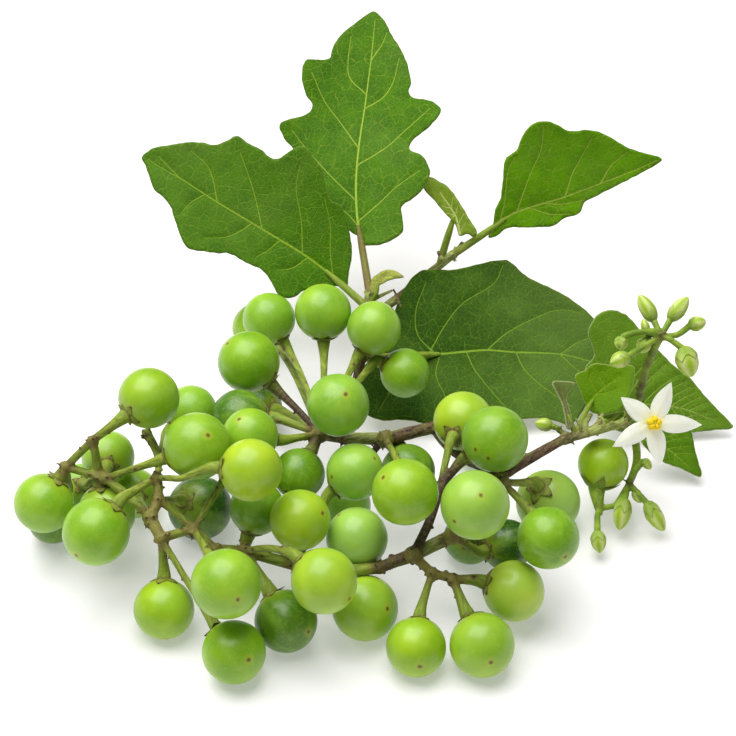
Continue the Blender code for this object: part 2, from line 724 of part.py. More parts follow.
def leaf_node(name, scraps, parts, green, stem_room):
    """A leaf: its blade, and its stalk down to the stem."""
    leaf = LEAVES[name]
    sheet = Sheet(leaf)
    outline = closed_curve(leaf["outline"], BLADE_STEP)
    inner = grid_inside(outline, BLADE_STEP)
    sheet_solid(outline, inner, sheet.lift, BLADE_THICKNESS, scraps)
    stops = []
    for stop in leaf["stalk"]:
        on_blade = not isinstance(stop, str) and len(stop) == 2
        stops.append(sheet.lift(Vector(stop)) if on_blade else stop_place(stop))
    line = stalk_line(stops, LEAF_STALK_RADII[1], OBSTACLES)
    tube(line, taper(LEAF_STALK_RADII[0], LEAF_STALK_RADII[1], len(line)), scraps)
    return fuse(name, scraps, parts, green, [stem_room])


def named_hubs(runs):
    """The hubs that these runs pass."""
    return sorted({stop for stops, _, _ in runs for stop in stops if isinstance(stop, str)})


def stem_line(stops, start, end):
    """A woody run's line, which goes round the berries."""
    return stalk_line([stop_place(stop) for stop in stops], max(start, end), BERRIES)


def stem_balls():
    """Balls along the woody stem, which the stalks go round."""
    balls = []
    for stops, start, end in STEM_RUNS:
        line = stem_line(stops, start, end)
        line += [a.lerp(b, 0.5) for a, b in zip(line, line[1:])]
        balls += [Ball(place, max(start, end) * MM) for place in line]
    return balls


def woody_stem(scraps, extra=0):
    """The scraps of the woody stem: its runs and their knobs."""
    for stops, start, end in STEM_RUNS:
        line = stem_line(stops, start, end)
        line[0] += (line[0] - line[1]).normalized() * extra * MM
        line[-1] += (line[-1] - line[-2]).normalized() * extra * MM
        tube(line, taper(start + extra, end + extra, len(line)), scraps)
    for name in named_hubs(STEM_RUNS):
        if HUBS[name][3]:
            knob(name, scraps, extra)


def hung_berry(berry, scraps):
    """A berry with its calyx and its stalk."""
    stops = [stop_place(stop) for stop in berry.stalk]
    pole = (stops[-1] - berry.place).normalized()
    berry_ball(berry, pole, scraps)
    stops.append(berry.place + pole * (berry.radius + (STALK_RADIUS + STALK_ROOM) * MM))
    line = stalk_line(stops, STALK_RADIUS, OBSTACLES)
    line.append(berry.place + pole * (berry.radius - STALK_DEPTH * MM))
    tube(line, stalk_radii(len(line)), scraps)


def bunch_node(name, scraps, parts, green, stem_room):
    """A bunch: its branches, their knobs, and its berries on their stalks."""
    branches = BUNCHES[name]["branches"]
    for stops, start, end in branches:
        line = stalk_line([stop_place(stop) for stop in stops], max(start, end), OBSTACLES)
        tube(line, taper(start, end, len(line)), scraps)
    for berry in BUNCH_BERRIES[name]:
        hung_berry(berry, scraps)
    stalks = [(berry.stalk, 0, 0) for berry in BUNCH_BERRIES[name]]
    for hub in named_hubs(branches + stalks):
        if hub not in named_hubs(STEM_RUNS):
            knob(hub, scraps)
    return fuse(name, scraps, parts, green, [stem_room])


def beside(place, px, py):
    """The place that a picture point shows, as far from the eye's plane as another place."""
    depth = (place - EYE).dot(FORWARD)
    return EYE + sight(px, py) * depth


def bud(foot_px, tip_px, height, radius, scraps):
    """A pointed bud; returns the place of its foot."""
    middle = spot((foot_px[0] + tip_px[0]) / 2, (foot_px[1] + tip_px[1]) / 2, height)
    foot, tip = beside(middle, *foot_px), beside(middle, *tip_px)
    half = (tip - foot).length / 2
    body = bmesh.new()
    bmesh.ops.create_uvsphere(body, u_segments=6, v_segments=5, radius=1)
    for vert in body.verts:
        slim = 1 - 0.35 * max(0, vert.co.z) ** 2
        vert.co = Vector((vert.co.x * radius * MM * slim, vert.co.y * radius * MM * slim,
                          vert.co.z * half))
    body.transform(aim(middle, tip - foot))
    mesh_from(body, "bud", scraps)
    return foot.lerp(tip, 0.2)


def bud_spray(name, scraps, parts, green, stem_room):
    """A spray of buds on one stem; the upper one also bears the flower's stalk."""
    spray = BUD_SPRAYS[name]
    fork = spot(*spray["fork"])
    line = curve_through([stop_place(stop) for stop in spray["stem"]] + [fork],
                         STALK_STEP * MM)
    tube(line, taper(spray["radius"], spray["radius"] * 0.9, len(line)), scraps)
    small_ball(fork, spray["radius"] * KNOB_SWELL, scraps)
    for foot_px, tip_px, height, radius, stops in spray["buds"]:
        foot = bud(foot_px, tip_px, height, radius, scraps)
        line = curve_through([fork] + [spot(*stop) for stop in stops] + [foot],
                             STALK_STEP * MM)
        tube(line, taper(BUD_STALK_RADIUS, BUD_STALK_RADIUS * 1.3, len(line)), scraps)
    if name == "bud_spray_upper":
        flower_stalk(scraps)
    if name == "bud_spray_lower":
        unripe_berry(scraps)
    return fuse(name, scraps, parts, green, [stem_room])


def flower_stalk(scraps):
    """The flower's stalk and the cup of its calyx, which ends a gap behind the petals."""
    middle = spot(*FLOWER_MIDDLE)
    back = FORWARD * (PETAL_THICKNESS / 2 + GAP * 1.3) * MM
    line = curve_through([spot(*FLOWER_NODE), middle + FORWARD * 6 * MM,
                          middle + FORWARD * 2.5 * MM, middle + back], 2 * MM)
    radii = taper(0.6, 0.7, len(line) - 1) + [CUP_RADIUS]
    tube(line, radii, scraps)


def unripe_berry(scraps):
    """The young berry and the cup that holds it."""
    berry = UNRIPE
    pole = (spot(*UNRIPE_CUP[0]) - berry.place).normalized()
    berry_ball(berry, pole, scraps)
    line = [berry.place + pole * berry.radius * 0.7] + [spot(*stop) for stop in UNRIPE_CUP]
    tube(line, UNRIPE_CUP_RADII, scraps)


def corolla(scraps, parts, white):
    """Five pointed petals joined round the middle, bent back a little towards their tips."""
    middle = spot(*FLOWER_MIDDLE)
    tips = [beside(middle, *tip) - middle for tip in PETAL_TIPS]
    spokes = [Vector((tip.dot(SIDEWAYS), tip.dot(UPWARD))) for tip in tips]
    outline = []
    for spoke, after in zip(spokes, spokes[1:] + spokes[:1]):
        side = Vector((spoke.y, -spoke.x)).normalized() * PETAL_HALF_WIDTH * MM
        near_edge = [(s, petal_width(s)) for s in (0.35, 0.5, 0.65, 0.8, 0.92)]
        outline += [spoke * s - side * w for s, w in near_edge] + [spoke]
        outline += [spoke * s + side * w for s, w in reversed(near_edge)]
        notch = spoke.normalized() + after.normalized()
        outline.append(notch.normalized() * PETAL_NOTCH * MM)
    inner = [spoke * s for spoke in spokes for s in (0.2, 0.4, 0.6, 0.8)] + [Vector((0, 0))]
    reach = spokes[0].length

    def lift(point):
        sink = PETAL_SINK * MM * (point.length / reach) ** 2
        return middle + SIDEWAYS * point.x + UPWARD * point.y + FORWARD * sink

    sheet_solid(outline, inner, lift, PETAL_THICKNESS, scraps)
    return fuse("flower_petals", scraps, parts, white)


def petal_width(s):
    """A petal's width at a share of its length, as a share of its greatest width."""
    return math.sin(math.pi * (0.22 + 0.78 * s) ** 1.15)


def anthers(scraps, parts, yellow):
    """Five anthers standing close round the style, a gap above the petals."""
    start = spot(*FLOWER_MIDDLE) - FORWARD * (PETAL_THICKNESS / 2 + GAP) * MM
    turn = aim(start, -FORWARD)
    for i in range(6):
        ring = ANTHER_RING * MM if i else 0
        angle = math.tau * i / 5 + 0.3
        foot = Vector((ring * math.cos(angle), ring * math.sin(angle), 0))
        body = bmesh.new()
        bmesh.ops.create_cone(body, cap_ends=True, segments=5, radius1=ANTHER_RADIUS * MM,
                              radius2=ANTHER_RADIUS * 0.6 * MM, depth=ANTHER_LENGTH * MM)
        lean = foot + Vector((0, 0, ANTHER_LENGTH / 2 * MM))
        body.transform(turn @ Matrix.Translation(lean) @ Matrix.Rotation(angle * 0.7, 4, "Z"))
        mesh_from(body, "anther", scraps)
    return fuse("flower_anthers", scraps, parts, yellow)


def material(name, colour, roughness):
    finish = bpy.data.materials.new(name)
    finish.use_nodes = True
    shader = finish.node_tree.nodes["Principled BSDF"]
    shader.inputs["Base Color"].default_value = (*colour, 1)
    shader.inputs["Roughness"].default_value = roughness
    shader.inputs["Metallic"].default_value = 0
    return finish


def clear_scene():
    for thing in list(bpy.data.objects):
        bpy.data.objects.remove(thing)


def new_collection(name):
    collection = bpy.data.collections.new(name)
    bpy.context.scene.collection.children.link(collection)
    return collection


def main():
    """Build every node, one after the other."""
    bark = material("bark", (0.16, 0.12, 0.05), 0.7)
    berry_green = material("berry_green", (0.24, 0.42, 0.04), 0.35)
    leaf_green = material("leaf_green", (0.07, 0.2, 0.02), 0.55)
    bud_green = material("bud_green", (0.35, 0.5, 0.08), 0.5)
    white = material("petal_white", (0.85, 0.85, 0.75), 0.5)
    yellow = material("anther_yellow", (0.85, 0.55, 0.03), 0.5)
    parts = new_collection("turkey_berry")
    scraps = new_collection("scraps")
    cutters = new_collection("cutters")

    woody_stem(scraps)
    fuse("woody_stem", scraps, parts, bark)
    woody_stem(scraps, extra=GAP)
    stem_room = fuse("stem_room", scraps, cutters, bark)
    stem_room.hide_render = True
    stem_room.display_type = "WIRE"
    for name in BUNCHES:
        bunch_node(name, scraps, parts, berry_green, stem_room)
    for name in LEAVES:
        leaf_node(name, scraps, parts, leaf_green, stem_room)
    for name in BUD_SPRAYS:
        bud_spray(name, scraps, parts, bud_green, stem_room)
    corolla(scraps, parts, white)
    anthers(scraps, parts, yellow)


clear_scene()
BUNCH_BERRIES = all_berries()
UNRIPE = Berry(*UNRIPE_BERRY, [])
BERRIES = [berry for berries in BUNCH_BERRIES.values() for berry in berries] + [UNRIPE]
HUB_PLACES = clear_hubs(BERRIES)
OBSTACLES = BERRIES + stem_balls()
main()
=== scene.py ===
# %% [markdown]
# # A picked spray of turkey berry
# Turkey berry is a wild cousin of the aubergine. The spray lies on a pale table: round green
# berries on warty olive stalks, lobed leaves, two sprays of buds and one white star flower.
# The solids were made before, to scale; they come in as a fixed frame. This lesson gives each
# of them its fine shape and its finish. All places are in metres, with +Z up.

# %% Load the frame
import math
import random
from collections import defaultdict, namedtuple
from itertools import combinations

import bmesh
import bpy
import numpy as np
from mathutils import Matrix, Vector, kdtree, noise
from mathutils.geometry import delaunay_2d_cdt


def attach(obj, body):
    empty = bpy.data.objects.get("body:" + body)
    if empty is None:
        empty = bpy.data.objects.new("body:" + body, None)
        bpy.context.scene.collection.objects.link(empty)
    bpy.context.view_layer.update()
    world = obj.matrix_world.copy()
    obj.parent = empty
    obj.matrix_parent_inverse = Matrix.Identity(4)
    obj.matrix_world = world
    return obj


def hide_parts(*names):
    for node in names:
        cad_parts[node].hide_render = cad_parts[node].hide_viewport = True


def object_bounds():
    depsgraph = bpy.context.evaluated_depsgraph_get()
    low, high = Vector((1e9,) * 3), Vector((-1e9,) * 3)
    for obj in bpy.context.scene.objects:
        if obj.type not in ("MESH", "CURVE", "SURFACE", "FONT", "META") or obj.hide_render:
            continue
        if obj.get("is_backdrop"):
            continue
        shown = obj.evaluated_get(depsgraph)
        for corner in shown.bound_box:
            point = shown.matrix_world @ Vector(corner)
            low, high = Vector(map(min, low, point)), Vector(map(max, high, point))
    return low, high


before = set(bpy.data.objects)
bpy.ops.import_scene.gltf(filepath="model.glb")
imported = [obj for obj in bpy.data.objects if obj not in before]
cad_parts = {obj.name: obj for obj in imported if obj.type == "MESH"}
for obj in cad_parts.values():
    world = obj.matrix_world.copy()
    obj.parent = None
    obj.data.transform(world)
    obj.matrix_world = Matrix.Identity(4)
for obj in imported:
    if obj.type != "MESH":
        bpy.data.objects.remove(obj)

cad_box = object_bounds()
MM = 0.001
print("frame with", len(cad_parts), "solids, from", list(cad_box[0]), "to", list(cad_box[1]))

# %% [markdown]
# ## The eye
# The spray was measured from one photograph, 736 pixels wide. Its pieces could be pushed about
# by hand until they match, but it is quicker to place them with the eye's help: a picture point
# gives a line of sight, and a height above the table picks the place on that line. The same eye
# is the camera.

# %% The eye and its lines of sight
PICTURE = 736
FOCAL_LENGTH = 105
SENSOR = 36
LENS = FOCAL_LENGTH / SENSOR * PICTURE
TILT = math.radians(40)
AIM = Vector((-4.36, 3.12, 13)) * MM
EYE_AWAY = 470 * MM
FORWARD = Vector((0, math.cos(TILT), -math.sin(TILT)))
UPWARD = Vector((0, math.sin(TILT), math.cos(TILT)))
SIDEWAYS = Vector((1, 0, 0))
EYE = AIM - EYE_AWAY * FORWARD


def sight(px, py):
    """The direction in which the eye sees a picture point."""
    middle = PICTURE / 2
    return FORWARD + (px - middle) / LENS * SIDEWAYS - (py - middle) / LENS * UPWARD


def spot(px, py, height):
    """The place that a picture point shows, this many millimetres above the table."""
    ray = sight(px, py)
    return EYE + ray * ((height * MM - EYE.z) / ray.z)


def beside(place, px, py):
    """The place that a picture point shows, as far from the eye's plane as another place."""
    depth = (place - EYE).dot(FORWARD)
    return EYE + sight(px, py) * depth


def new_object(name, data):
    """An object that holds this data, shown in the scene."""
    made = bpy.data.objects.new(name, data)
    bpy.context.scene.collection.objects.link(made)
    return made


camera = new_object("camera", bpy.data.cameras.new("camera"))
bpy.context.scene.camera = camera
camera.data.lens = FOCAL_LENGTH
camera.data.sensor_width = SENSOR
camera.data.clip_start = 0.01
camera.matrix_world = Matrix.Translation(EYE) @ Matrix(
    (SIDEWAYS, UPWARD, -FORWARD)).transposed().to_4x4()
print("the eye is", round(EYE.length, 3), "m from the middle of the table")

# %% [markdown]
# ## Studio
# The photograph has a white ground with soft shadows that fall to the front. One large soft
# light hangs above, a little behind the spray and to its left, and a pale surround fills the
# shadows. The surround is much dimmer than the light, so the berries keep a darker side.

# %% Floor and light
def srgb(red, green, blue):
    """A colour as linear light, from the 0 to 255 numbers of a picture."""
    parts = []
    for part in (red, green, blue):
        part /= 255
        parts.append(part / 12.92 if part <= 0.04045 else ((part + 0.055) / 1.055) ** 2.4)
    return (*parts, 1)


light = bpy.data.lights.new("key", "AREA")
light.size = 0.8
light.energy = 10.5
light.color = (1.0, 0.995, 0.98)
lamp = new_object("key", light)
lamp.location = (-0.17, 0.10, 0.75)
lamp.rotation_euler = (AIM - lamp.location).to_track_quat("-Z", "Y").to_euler()

world = bpy.data.worlds.new("surround")
bpy.context.scene.world = world
world.use_nodes = True
surround = world.node_tree.nodes["Background"].inputs
surround["Color"].default_value = srgb(250, 252, 255)
surround["Strength"].default_value = 0.2
bpy.context.scene.view_settings.view_transform = "Standard"
print("a soft light and a pale surround")

# %% [markdown]
# ## Shader sums
# A finish is mostly sums: a mask times a mask, one minus a mask. This small class wraps a
# shader socket so that the sums can be written as plain Python, and each one adds its Math
# node. Every other node comes from its `node` method.

# %% A socket that sums can be written on
class Value:
    """A shader socket; plain sums on it add Math nodes."""

    def __init__(self, tree, socket=None):
        self.tree = tree
        self.socket = socket

    def node(self, kind, settings=(), sockets=(), output=0):
        """Add any node: its settings first, then its sockets' values or links."""
        made = self.tree.nodes.new(kind)
        for key, value in dict(settings).items():
            setattr(made, key, value)
        for key, value in dict(sockets).items():
            if isinstance(value, Value):
                self.tree.links.new(value.socket, made.inputs[key])
            else:
                made.inputs[key].default_value = value
        return Value(self.tree, made.outputs[output])

    def math(self, operation, *values):
        return self.node("ShaderNodeMath", {"operation": operation}, dict(enumerate(values)))

    def __add__(self, other):
        return self.math("ADD", self, other)

    def __sub__(self, other):
        return self.math("SUBTRACT", self, other)

    def __rsub__(self, other):
        return self.math("SUBTRACT", other, self)

    def __mul__(self, other):
        return self.math("MULTIPLY", self, other)

    __radd__ = __add__
    __rmul__ = __mul__

    def clip(self):
        """Kept between 0 and 1."""
        return self.node("ShaderNodeClamp", {}, {0: self})

    def step(self, low, high):
        """0 below low, 1 above high, smooth between them."""
        return self.node("ShaderNodeMapRange", {"interpolation_type": "SMOOTHSTEP"},
                         {0: self, 1: low, 2: high})

    def blend(self, none, full):
        """The first colour where this is 0, and the second where it is 1."""
        return self.node("ShaderNodeMix", {"data_type": "RGBA"},
                         {0: self, 6: none, 7: full}, output=2)

    def attribute(self, name, output="Fac"):
        """What a piece carries on its points under this name."""
        return self.node("ShaderNodeAttribute", {"attribute_name": name}, output=output)

    def place(self):
        """The place in the room, in metres."""
        return self.node("ShaderNodeTexCoord", output="Object")

    def vector(self, operation, sockets, output=0):
        return self.node("ShaderNodeVectorMath", {"operation": operation}, sockets, output)

    def noise(self, where, scale, detail=2, rough=0.5):
        """Cloudy noise between 0 and 1."""
        return self.node("ShaderNodeTexNoise", {},
                         {"Vector": where, "Scale": scale, "Detail": detail, "Roughness": rough})

    def feed(self, socket):
        """Link this to a socket of the finish's own shader."""
        self.tree.links.new(self.socket, self.tree.nodes["Principled BSDF"].inputs[socket])

    def bump(self, depth):
        """Raise the surface by this, from 0 to 1, times a depth in millimetres."""
        self.node("ShaderNodeBump", {}, {"Height": self, "Distance": depth * MM}).feed("Normal")


def new_finish(name, **steady):
    """A material and a value to build on; steady sockets of its shader are set directly."""
    finish = bpy.data.materials.new(name)
    finish.use_nodes = True
    inputs = finish.node_tree.nodes["Principled BSDF"].inputs
    for socket, value in steady.items():
        inputs[socket.replace("_", " ")].default_value = value
    return finish, Value(finish.node_tree)


print("shader sums are ready")

# %% [markdown]
# ## The table top
# The spray lies on a plain pale board, and a flat square does for it. It could be lit from
# more sides, but then the berries would lose their shading. Instead it glows a little, as the
# lit glass of a photographer's table does, so shadows stay light and the berries get a pale rim.

# %% Floor
FLOOR_HALF = 3.0
floor_mesh = bpy.data.meshes.new("floor")
corners = [(x * FLOOR_HALF, y * FLOOR_HALF, 0) for x, y in ((-1, -1), (1, -1), (1, 1), (-1, 1))]
floor_mesh.from_pydata(corners, [], [(0, 1, 2, 3)])
floor = new_object("floor", floor_mesh)
floor.location.z = -0.02 * MM
pale_board, base = new_finish("pale_board", Roughness=0.6, Emission_Color=(1, 1, 1, 1),
                              Emission_Strength=0.3)
cloud = base.noise(base.place(), 9)
cloud.blend(srgb(218, 215, 217), srgb(221, 218, 220)).feed("Base Color")
floor_mesh.materials.append(pale_board)
floor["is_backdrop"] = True
print("floor laid")

# %% [markdown]
# ## Where the berries are
# Each berry is given by its picture point, its diameter and its height. Guesses made from one
# picture run into each other, so berries that touch slide apart along their own sight lines:
# the picture stays the same and every berry gets its room. Those that lie on the table stop
# there.

# %% Hubs, stems and bunches
# Millimetres, as all sizes below.
GAP = 0.3
REST_SPOT_DEPTH = 0.25
STALK_RADIUS = 0.75
STALK_DEPTH = 1.2
STALK_STEP = 5.5
STALK_ROOM = 0.8
KNOB_SWELL = 1.25
# The height that is given for a berry which lies on the table.
REST = 0

# Joints of the stem and the stalks: picture point, height and the radius of the knob there,
# 0 for none. A crown is the knob on the near side of the stem from which a bunch spreads.
HUBS = {
    "stem_tip": (626, 421, 21, 1.0),
    "bud_fork": (566, 438, 20, 1.3),
    "right_fork": (500, 476, 20, 1.1),
    "under_fork": (452, 536, 16, 1.1),
    "front_fork": (413, 555, 14, 1.1),
    "stem_end": (393, 562, 13, 1.2),
    "front_turn": (375, 570, 12, 1.2),
    "low_middle": (295, 565, 11, 1.2),
    "left_end": (245, 551, 13, 1.3),
    "back_turn": (435, 427, 19, 1.3),
    "middle_hub": (385, 439, 20, 1.1),
    "top_hub": (320, 434, 20, 1.1),
    "shoot_foot": (345, 438, 20, 1.3),
    "shoot_fork": (368, 318, 20, 1.2),
    "leaf_fork": (370, 297, 24, 1.2),
    "shoot_node": (361, 358, 17.5, 1.2),
    "right_shoot": (452, 255, 23, 1.0),
    "spray_node": (613, 426, 20.5, 0),
    "far_node": (587, 433, 20, 0),
    "dry_node": (576, 436, 20, 0),
    "left_node": (368, 308, 22, 0),
    "young_node": (440, 265, 19, 0),
    "right_crown": (500, 476, 22, 1.7),
    "under_crown": (452, 536, 18, 1.7),
    "front_crown": (413, 555, 16, 1.7),
    "middle_crown": (385, 439, 22, 1.7),
    "top_crown": (320, 434, 22, 1.8),
    "left_turn": (214, 549, 15, 1.1),
    "left_low": (194, 529, 18, 1.2),
    "left_corner": (161, 538, 18, 1.3),
    "left_hub": (150, 517, 20, 1.5),
    "left_side": (158, 500, 21.5, 1.1),
    "left_top": (157, 478, 24, 1.2),
    "left_cross": (105, 478, 21, 1.2),
    "far_left": (66, 467, 22, 1.2),
    "far_joint": (93, 440, 28, 0.95),
    "front_low": (432, 573, 13, 1.2),
    "front_pair": (453, 579, 12, 1.2),
    "middle_right": (440, 487, 21, 1.2),
}

# The woody stem's runs, from hub to hub and past other places, with the radii at their ends.
STEM_RUNS = [
    (["stem_tip", "spray_node", "far_node", "dry_node", "bud_fork"], 0.85, 1.05),
    (["bud_fork", (540, 450, 20), "right_fork"], 1.05, 1.25),
    (["right_fork", (476, 512, 17), "under_fork"], 1.25, 1.4),
    (["under_fork", "front_fork"], 1.4, 1.4),
    (["front_fork", "stem_end"], 1.4, 1.25),
    (["right_fork", (470, 445, 19), "back_turn"], 1.25, 1.35),
    (["back_turn", (405, 431, 20), "middle_hub"], 1.35, 1.35),
    (["middle_hub", "shoot_foot"], 1.35, 1.25),
    (["shoot_foot", "top_hub"], 1.25, 1.3),
    (["shoot_foot", (356, 395, 16), "shoot_node"], 1.2, 1.1),
    (["shoot_node", "shoot_fork"], 1.1, 1.1),
    (["shoot_fork", "left_node", "leaf_fork"], 1.1, 1.0),
    (["shoot_fork", (400, 299, 13.5), (420, 281, 15.5), "young_node", "right_shoot"],
     1.0, 1.0),
]

# Each bunch's branches, and its berries: picture point, diameter, height and the stops of the
# stalk on its way to the berry.
BUNCHES = {
    "bunch_left": {
        "branches": [
            (["stem_end", "front_turn"], 1.2, 1.2),
            (["front_turn", (335, 570, 11), "low_middle"], 1.2, 1.2),
            (["low_middle", "left_end"], 1.2, 1.2),
            (["left_end", (230, 547, 14), "left_turn"], 1.1, 1.0),
            (["left_turn", "left_low"], 1.0, 0.95),
            (["left_low", (178, 531, 18), "left_corner"], 0.9, 1.0),
            (["left_corner", "left_hub"], 1.15, 1.25),
            (["left_hub", "left_side", "left_top"], 1.1, 0.9),
            (["left_side", (176, 504, 17.5), (187, 519, 17.5), "left_low"], 0.75, 0.75),
            (["left_low", (205, 508, 19), (214, 487, 21.5), (228, 474, 22)], 0.6, 1.0),
            (["left_top", (167, 455, 19), (163, 442, 21), (147, 434, 22)], 0.6, 1.0),
            (["left_hub", (128, 499, 15), "left_cross"], 0.9, 0.9),
            (["left_cross", (84, 473, 21), "far_left"], 0.85, 0.85),
            (["far_left", (72, 452, 25), "far_joint"], 0.85, 0.8),
        ],
        "berries": [
            (149, 398, 12.5, 33, ["far_joint", (112, 426, 31.5)]),
            (191, 411, 11.0, 21, ["left_top", (160, 455, 20), (163, 437, 17)]),
            (108, 457, 11.2, 16, ["left_cross"]),
            (197, 446, 13.6, 31, ["left_cross", (125, 471, 24), (142, 467, 27)]),
            (44, 503, 12.3, 14, ["far_left"]),
            (53, 518, 10.8, REST, ["far_left", (71, 482, 11.5)]),
            (96, 532, 13.5, 20, ["left_top", (137, 486, 25), (122, 498, 25)]),
            (107, 512, 12.0, 13, ["far_joint", (97, 460, 24.5), (99, 477, 20)]),
            (80, 486, 9.8, REST, ["left_cross", (92, 480, 16)]),
            (134, 493, 10.8, REST, ["left_hub"]),
            (200, 508, 13.5, REST, ["left_side", (168, 499, 18), (178, 499, 13)]),
            (251, 470, 12.4, 33, ["left_top", (184, 471, 31), (206, 467, 34)]),
            (164, 609, 12.2, REST, ["left_corner", (164, 560, 13)]),
            (226, 584, 13.7, 21.5, ["left_low", (204, 546, 20)]),
            (234, 652, 12.6, REST, ["left_corner", (173, 562, 14), (190, 590, 10)]),
            (257, 508, 11.2, 19, ["left_end", (247, 538, 12.5)]),
            (300, 520, 12.2, 18, ["low_middle"]),
            (357, 538, 12.5, 15, ["front_turn", (374, 561, 9.5)]),
            (324, 581, 13.0, 20, ["left_end", (262, 541, 18), (283, 545, 23)]),
            (286, 621, 12.6, REST, ["left_end", (262, 578, 11)]),
            (365, 608, 13.3, REST, ["low_middle", (318, 585, 7)]),
            (355, 472, 11.7, 23, ["low_middle", (311, 532, 14), (326, 497, 18.5)]),
        ],
    },
    "bunch_top": {
        "branches": [],
        "berries": [
            (249, 362, 13.2, 27, ["top_crown", (300, 409, 22.5), (284, 397, 21.5)]),
            (269, 319, 11.6, 24, ["top_crown", (308, 384, 21), (294, 358, 17.5)]),
            (323, 312, 12.4, 28, ["top_crown", (325, 380, 20.5), (324, 360, 19)]),
            (374, 328, 11.7, 26, ["top_crown", (343, 385, 21.5), (353, 364, 21)]),
            (405, 373, 10.8, 18, ["top_crown", (365, 375, 18), (380, 362, 20)]),
            (338, 405, 12.8, 33, ["top_crown", (326, 425, 22)]),
            (257, 328, 11.5, REST, ["top_crown", (302, 390, 15), (285, 352, 12)]),
            (240, 418, 12.1, 21, ["top_crown", (296, 424, 21), (276, 418, 22)]),
            (250, 436, 11.5, 26, ["top_crown", (300, 438, 22), (282, 440, 24)]),
            (258, 408, 10.9, REST, ["top_crown", (288, 412, 9)]),
            (299, 474, 10.7, 19, ["top_crown"]),
        ],
    },
    "bunch_middle": {
        "branches": [],
        "berries": [
            (405, 492, 13.2, 30, ["middle_crown", (400, 449, 23)]),
            (408, 471, 11.3, 16, ["middle_crown", (400, 445, 17)]),
            (345, 505, 11.0, REST, ["middle_crown", (360, 462, 13)]),
        ],
    },
    "bunch_front": {
        "branches": [
            (["front_crown", (423, 563, 15), "front_low"], 1.0, 0.9),
            (["front_low", "front_pair"], 0.9, 0.9),
            (["front_crown", (424, 541, 17), (437, 520, 20), "middle_right"], 1.0, 0.9),
        ],
        "berries": [
            (416, 647, 11.9, REST, ["front_low", (424, 584, 12)]),
            (482, 645, 12.9, REST, ["front_pair", (458, 595, 11)]),
            (514, 591, 12.3, REST, ["front_pair", (470, 578, 12)]),
            (495, 439, 13.5, 29, ["middle_right", (452, 467, 23)]),
            (463, 421, 12.4, 25, ["middle_right", (443, 460, 24), (449, 443, 26)]),
            (478, 441, 12.0, REST, ["middle_right", (456, 466, 12)]),
        ],
    },
    "bunch_under": {
        "branches": [],
        "berries": [
            (475, 505, 13.6, 29, ["under_crown"]),
            (470, 538, 11.0, REST, ["under_crown", (470, 548, 14)]),
            (507, 545, 10.6, REST, ["under_crown", (474, 553, 12)]),
        ],
    },
    "bunch_right": {
        "branches": [],
        "berries": [
            (548, 538, 12.5, 14, ["right_crown", (513, 490, 18), (527, 504, 18)]),
            (548, 502, 13.7, REST, ["right_crown", (518, 477, 18), (533, 479, 15.5)]),
        ],
    },
}
print(len(HUBS), "hubs and", sum(len(b["berries"]) for b in BUNCHES.values()), "berries")

# %% Settle the berries
Ball = namedtuple("Ball", "place radius")


class Berry:
    """A round berry, which can slide along the line on which the eye sees it."""

    def __init__(self, px, py, diameter, height, stalk):
        self.radius = diameter / 2 * MM
        self.lowest = self.radius - REST_SPOT_DEPTH * MM
        self.ray = sight(px, py).normalized()
        self.place = spot(px, py, max(height, self.lowest / MM))
        self.stalk = stalk
        self.pixel = (px, py)

    def slide(self, distance):
        """Move away from the eye, or nearer where negative, but not into the table."""
        self.place = self.place + self.ray * distance
        if self.place.z < self.lowest:
            self.place += self.ray * ((self.lowest - self.place.z) / self.ray.z)


SETTLE_ROUNDS = 400
SETTLE_GAP = GAP * MM * 1.3


def settle(berries):
    """Slide berries that run into each other apart, each along its own sight line."""
    for _ in range(SETTLE_ROUNDS):
        for one, other in combinations(berries, 2):
            room = one.radius + other.radius + SETTLE_GAP
            lack = room - (one.place - other.place).length
            if lack > 0:
                near, far = sorted((one, other), key=lambda b: (b.place - EYE).length)
                near.slide(-lack / 2)
                far.slide(lack / 2)


def all_berries():
    """Every bunch's berries, settled together."""
    bunches = {name: [Berry(*row) for row in bunch["berries"]]
               for name, bunch in BUNCHES.items()}
    settle([berry for berries in bunches.values() for berry in berries])
    return bunches


bunch_berries = all_berries()
UNRIPE_BERRY = (603, 464, 10.8, 11)
unripe = Berry(*UNRIPE_BERRY, [])
berries = [berry for bunch in bunch_berries.values() for berry in bunch] + [unripe]
print("lowest berry centre is", round(min(b.place.z for b in berries) / MM, 2), "mm up")

# %% [markdown]
# ## Lines for the stalks
# A stalk can't run through a berry. Its line is a smooth curve through a few stops, and then
# each of its points is eased towards its neighbours and pushed out of whatever it runs into.
# The first lines are coarse, as in the solids; a second smooth pass refines them.

# %% Smooth curves
def between(a, b, c, d, t):
    """The point a share t of the way from b to c on a smooth curve past a, b, c and d."""
    return 0.5 * (2 * b + (c - a) * t + (2 * a - 5 * b + 4 * c - d) * t ** 2
                  + (3 * b - a - 3 * c + d) * t ** 3)


def curve_through(points, step, closed=False):
    """Points about a step apart on a smooth curve through the given points."""
    points = [Vector(point) for point in points]
    if closed:
        stops = points[-1:] + points + points[:2]
    else:
        stops = [2 * points[0] - points[1]] + points + [2 * points[-1] - points[-2]]
    line = []
    for a, b, c, d in zip(stops, stops[1:], stops[2:], stops[3:]):
        count = max(1, round(Vector((c - b)[:3]).length / step))
        line += [between(a, b, c, d, i / count) for i in range(count)]
    return line if closed else line + [points[-1].copy()]


def taper(start, end, count):
    """Radii that run evenly from one to the other."""
    return [start + (end - start) * i / (count - 1) for i in range(count)]


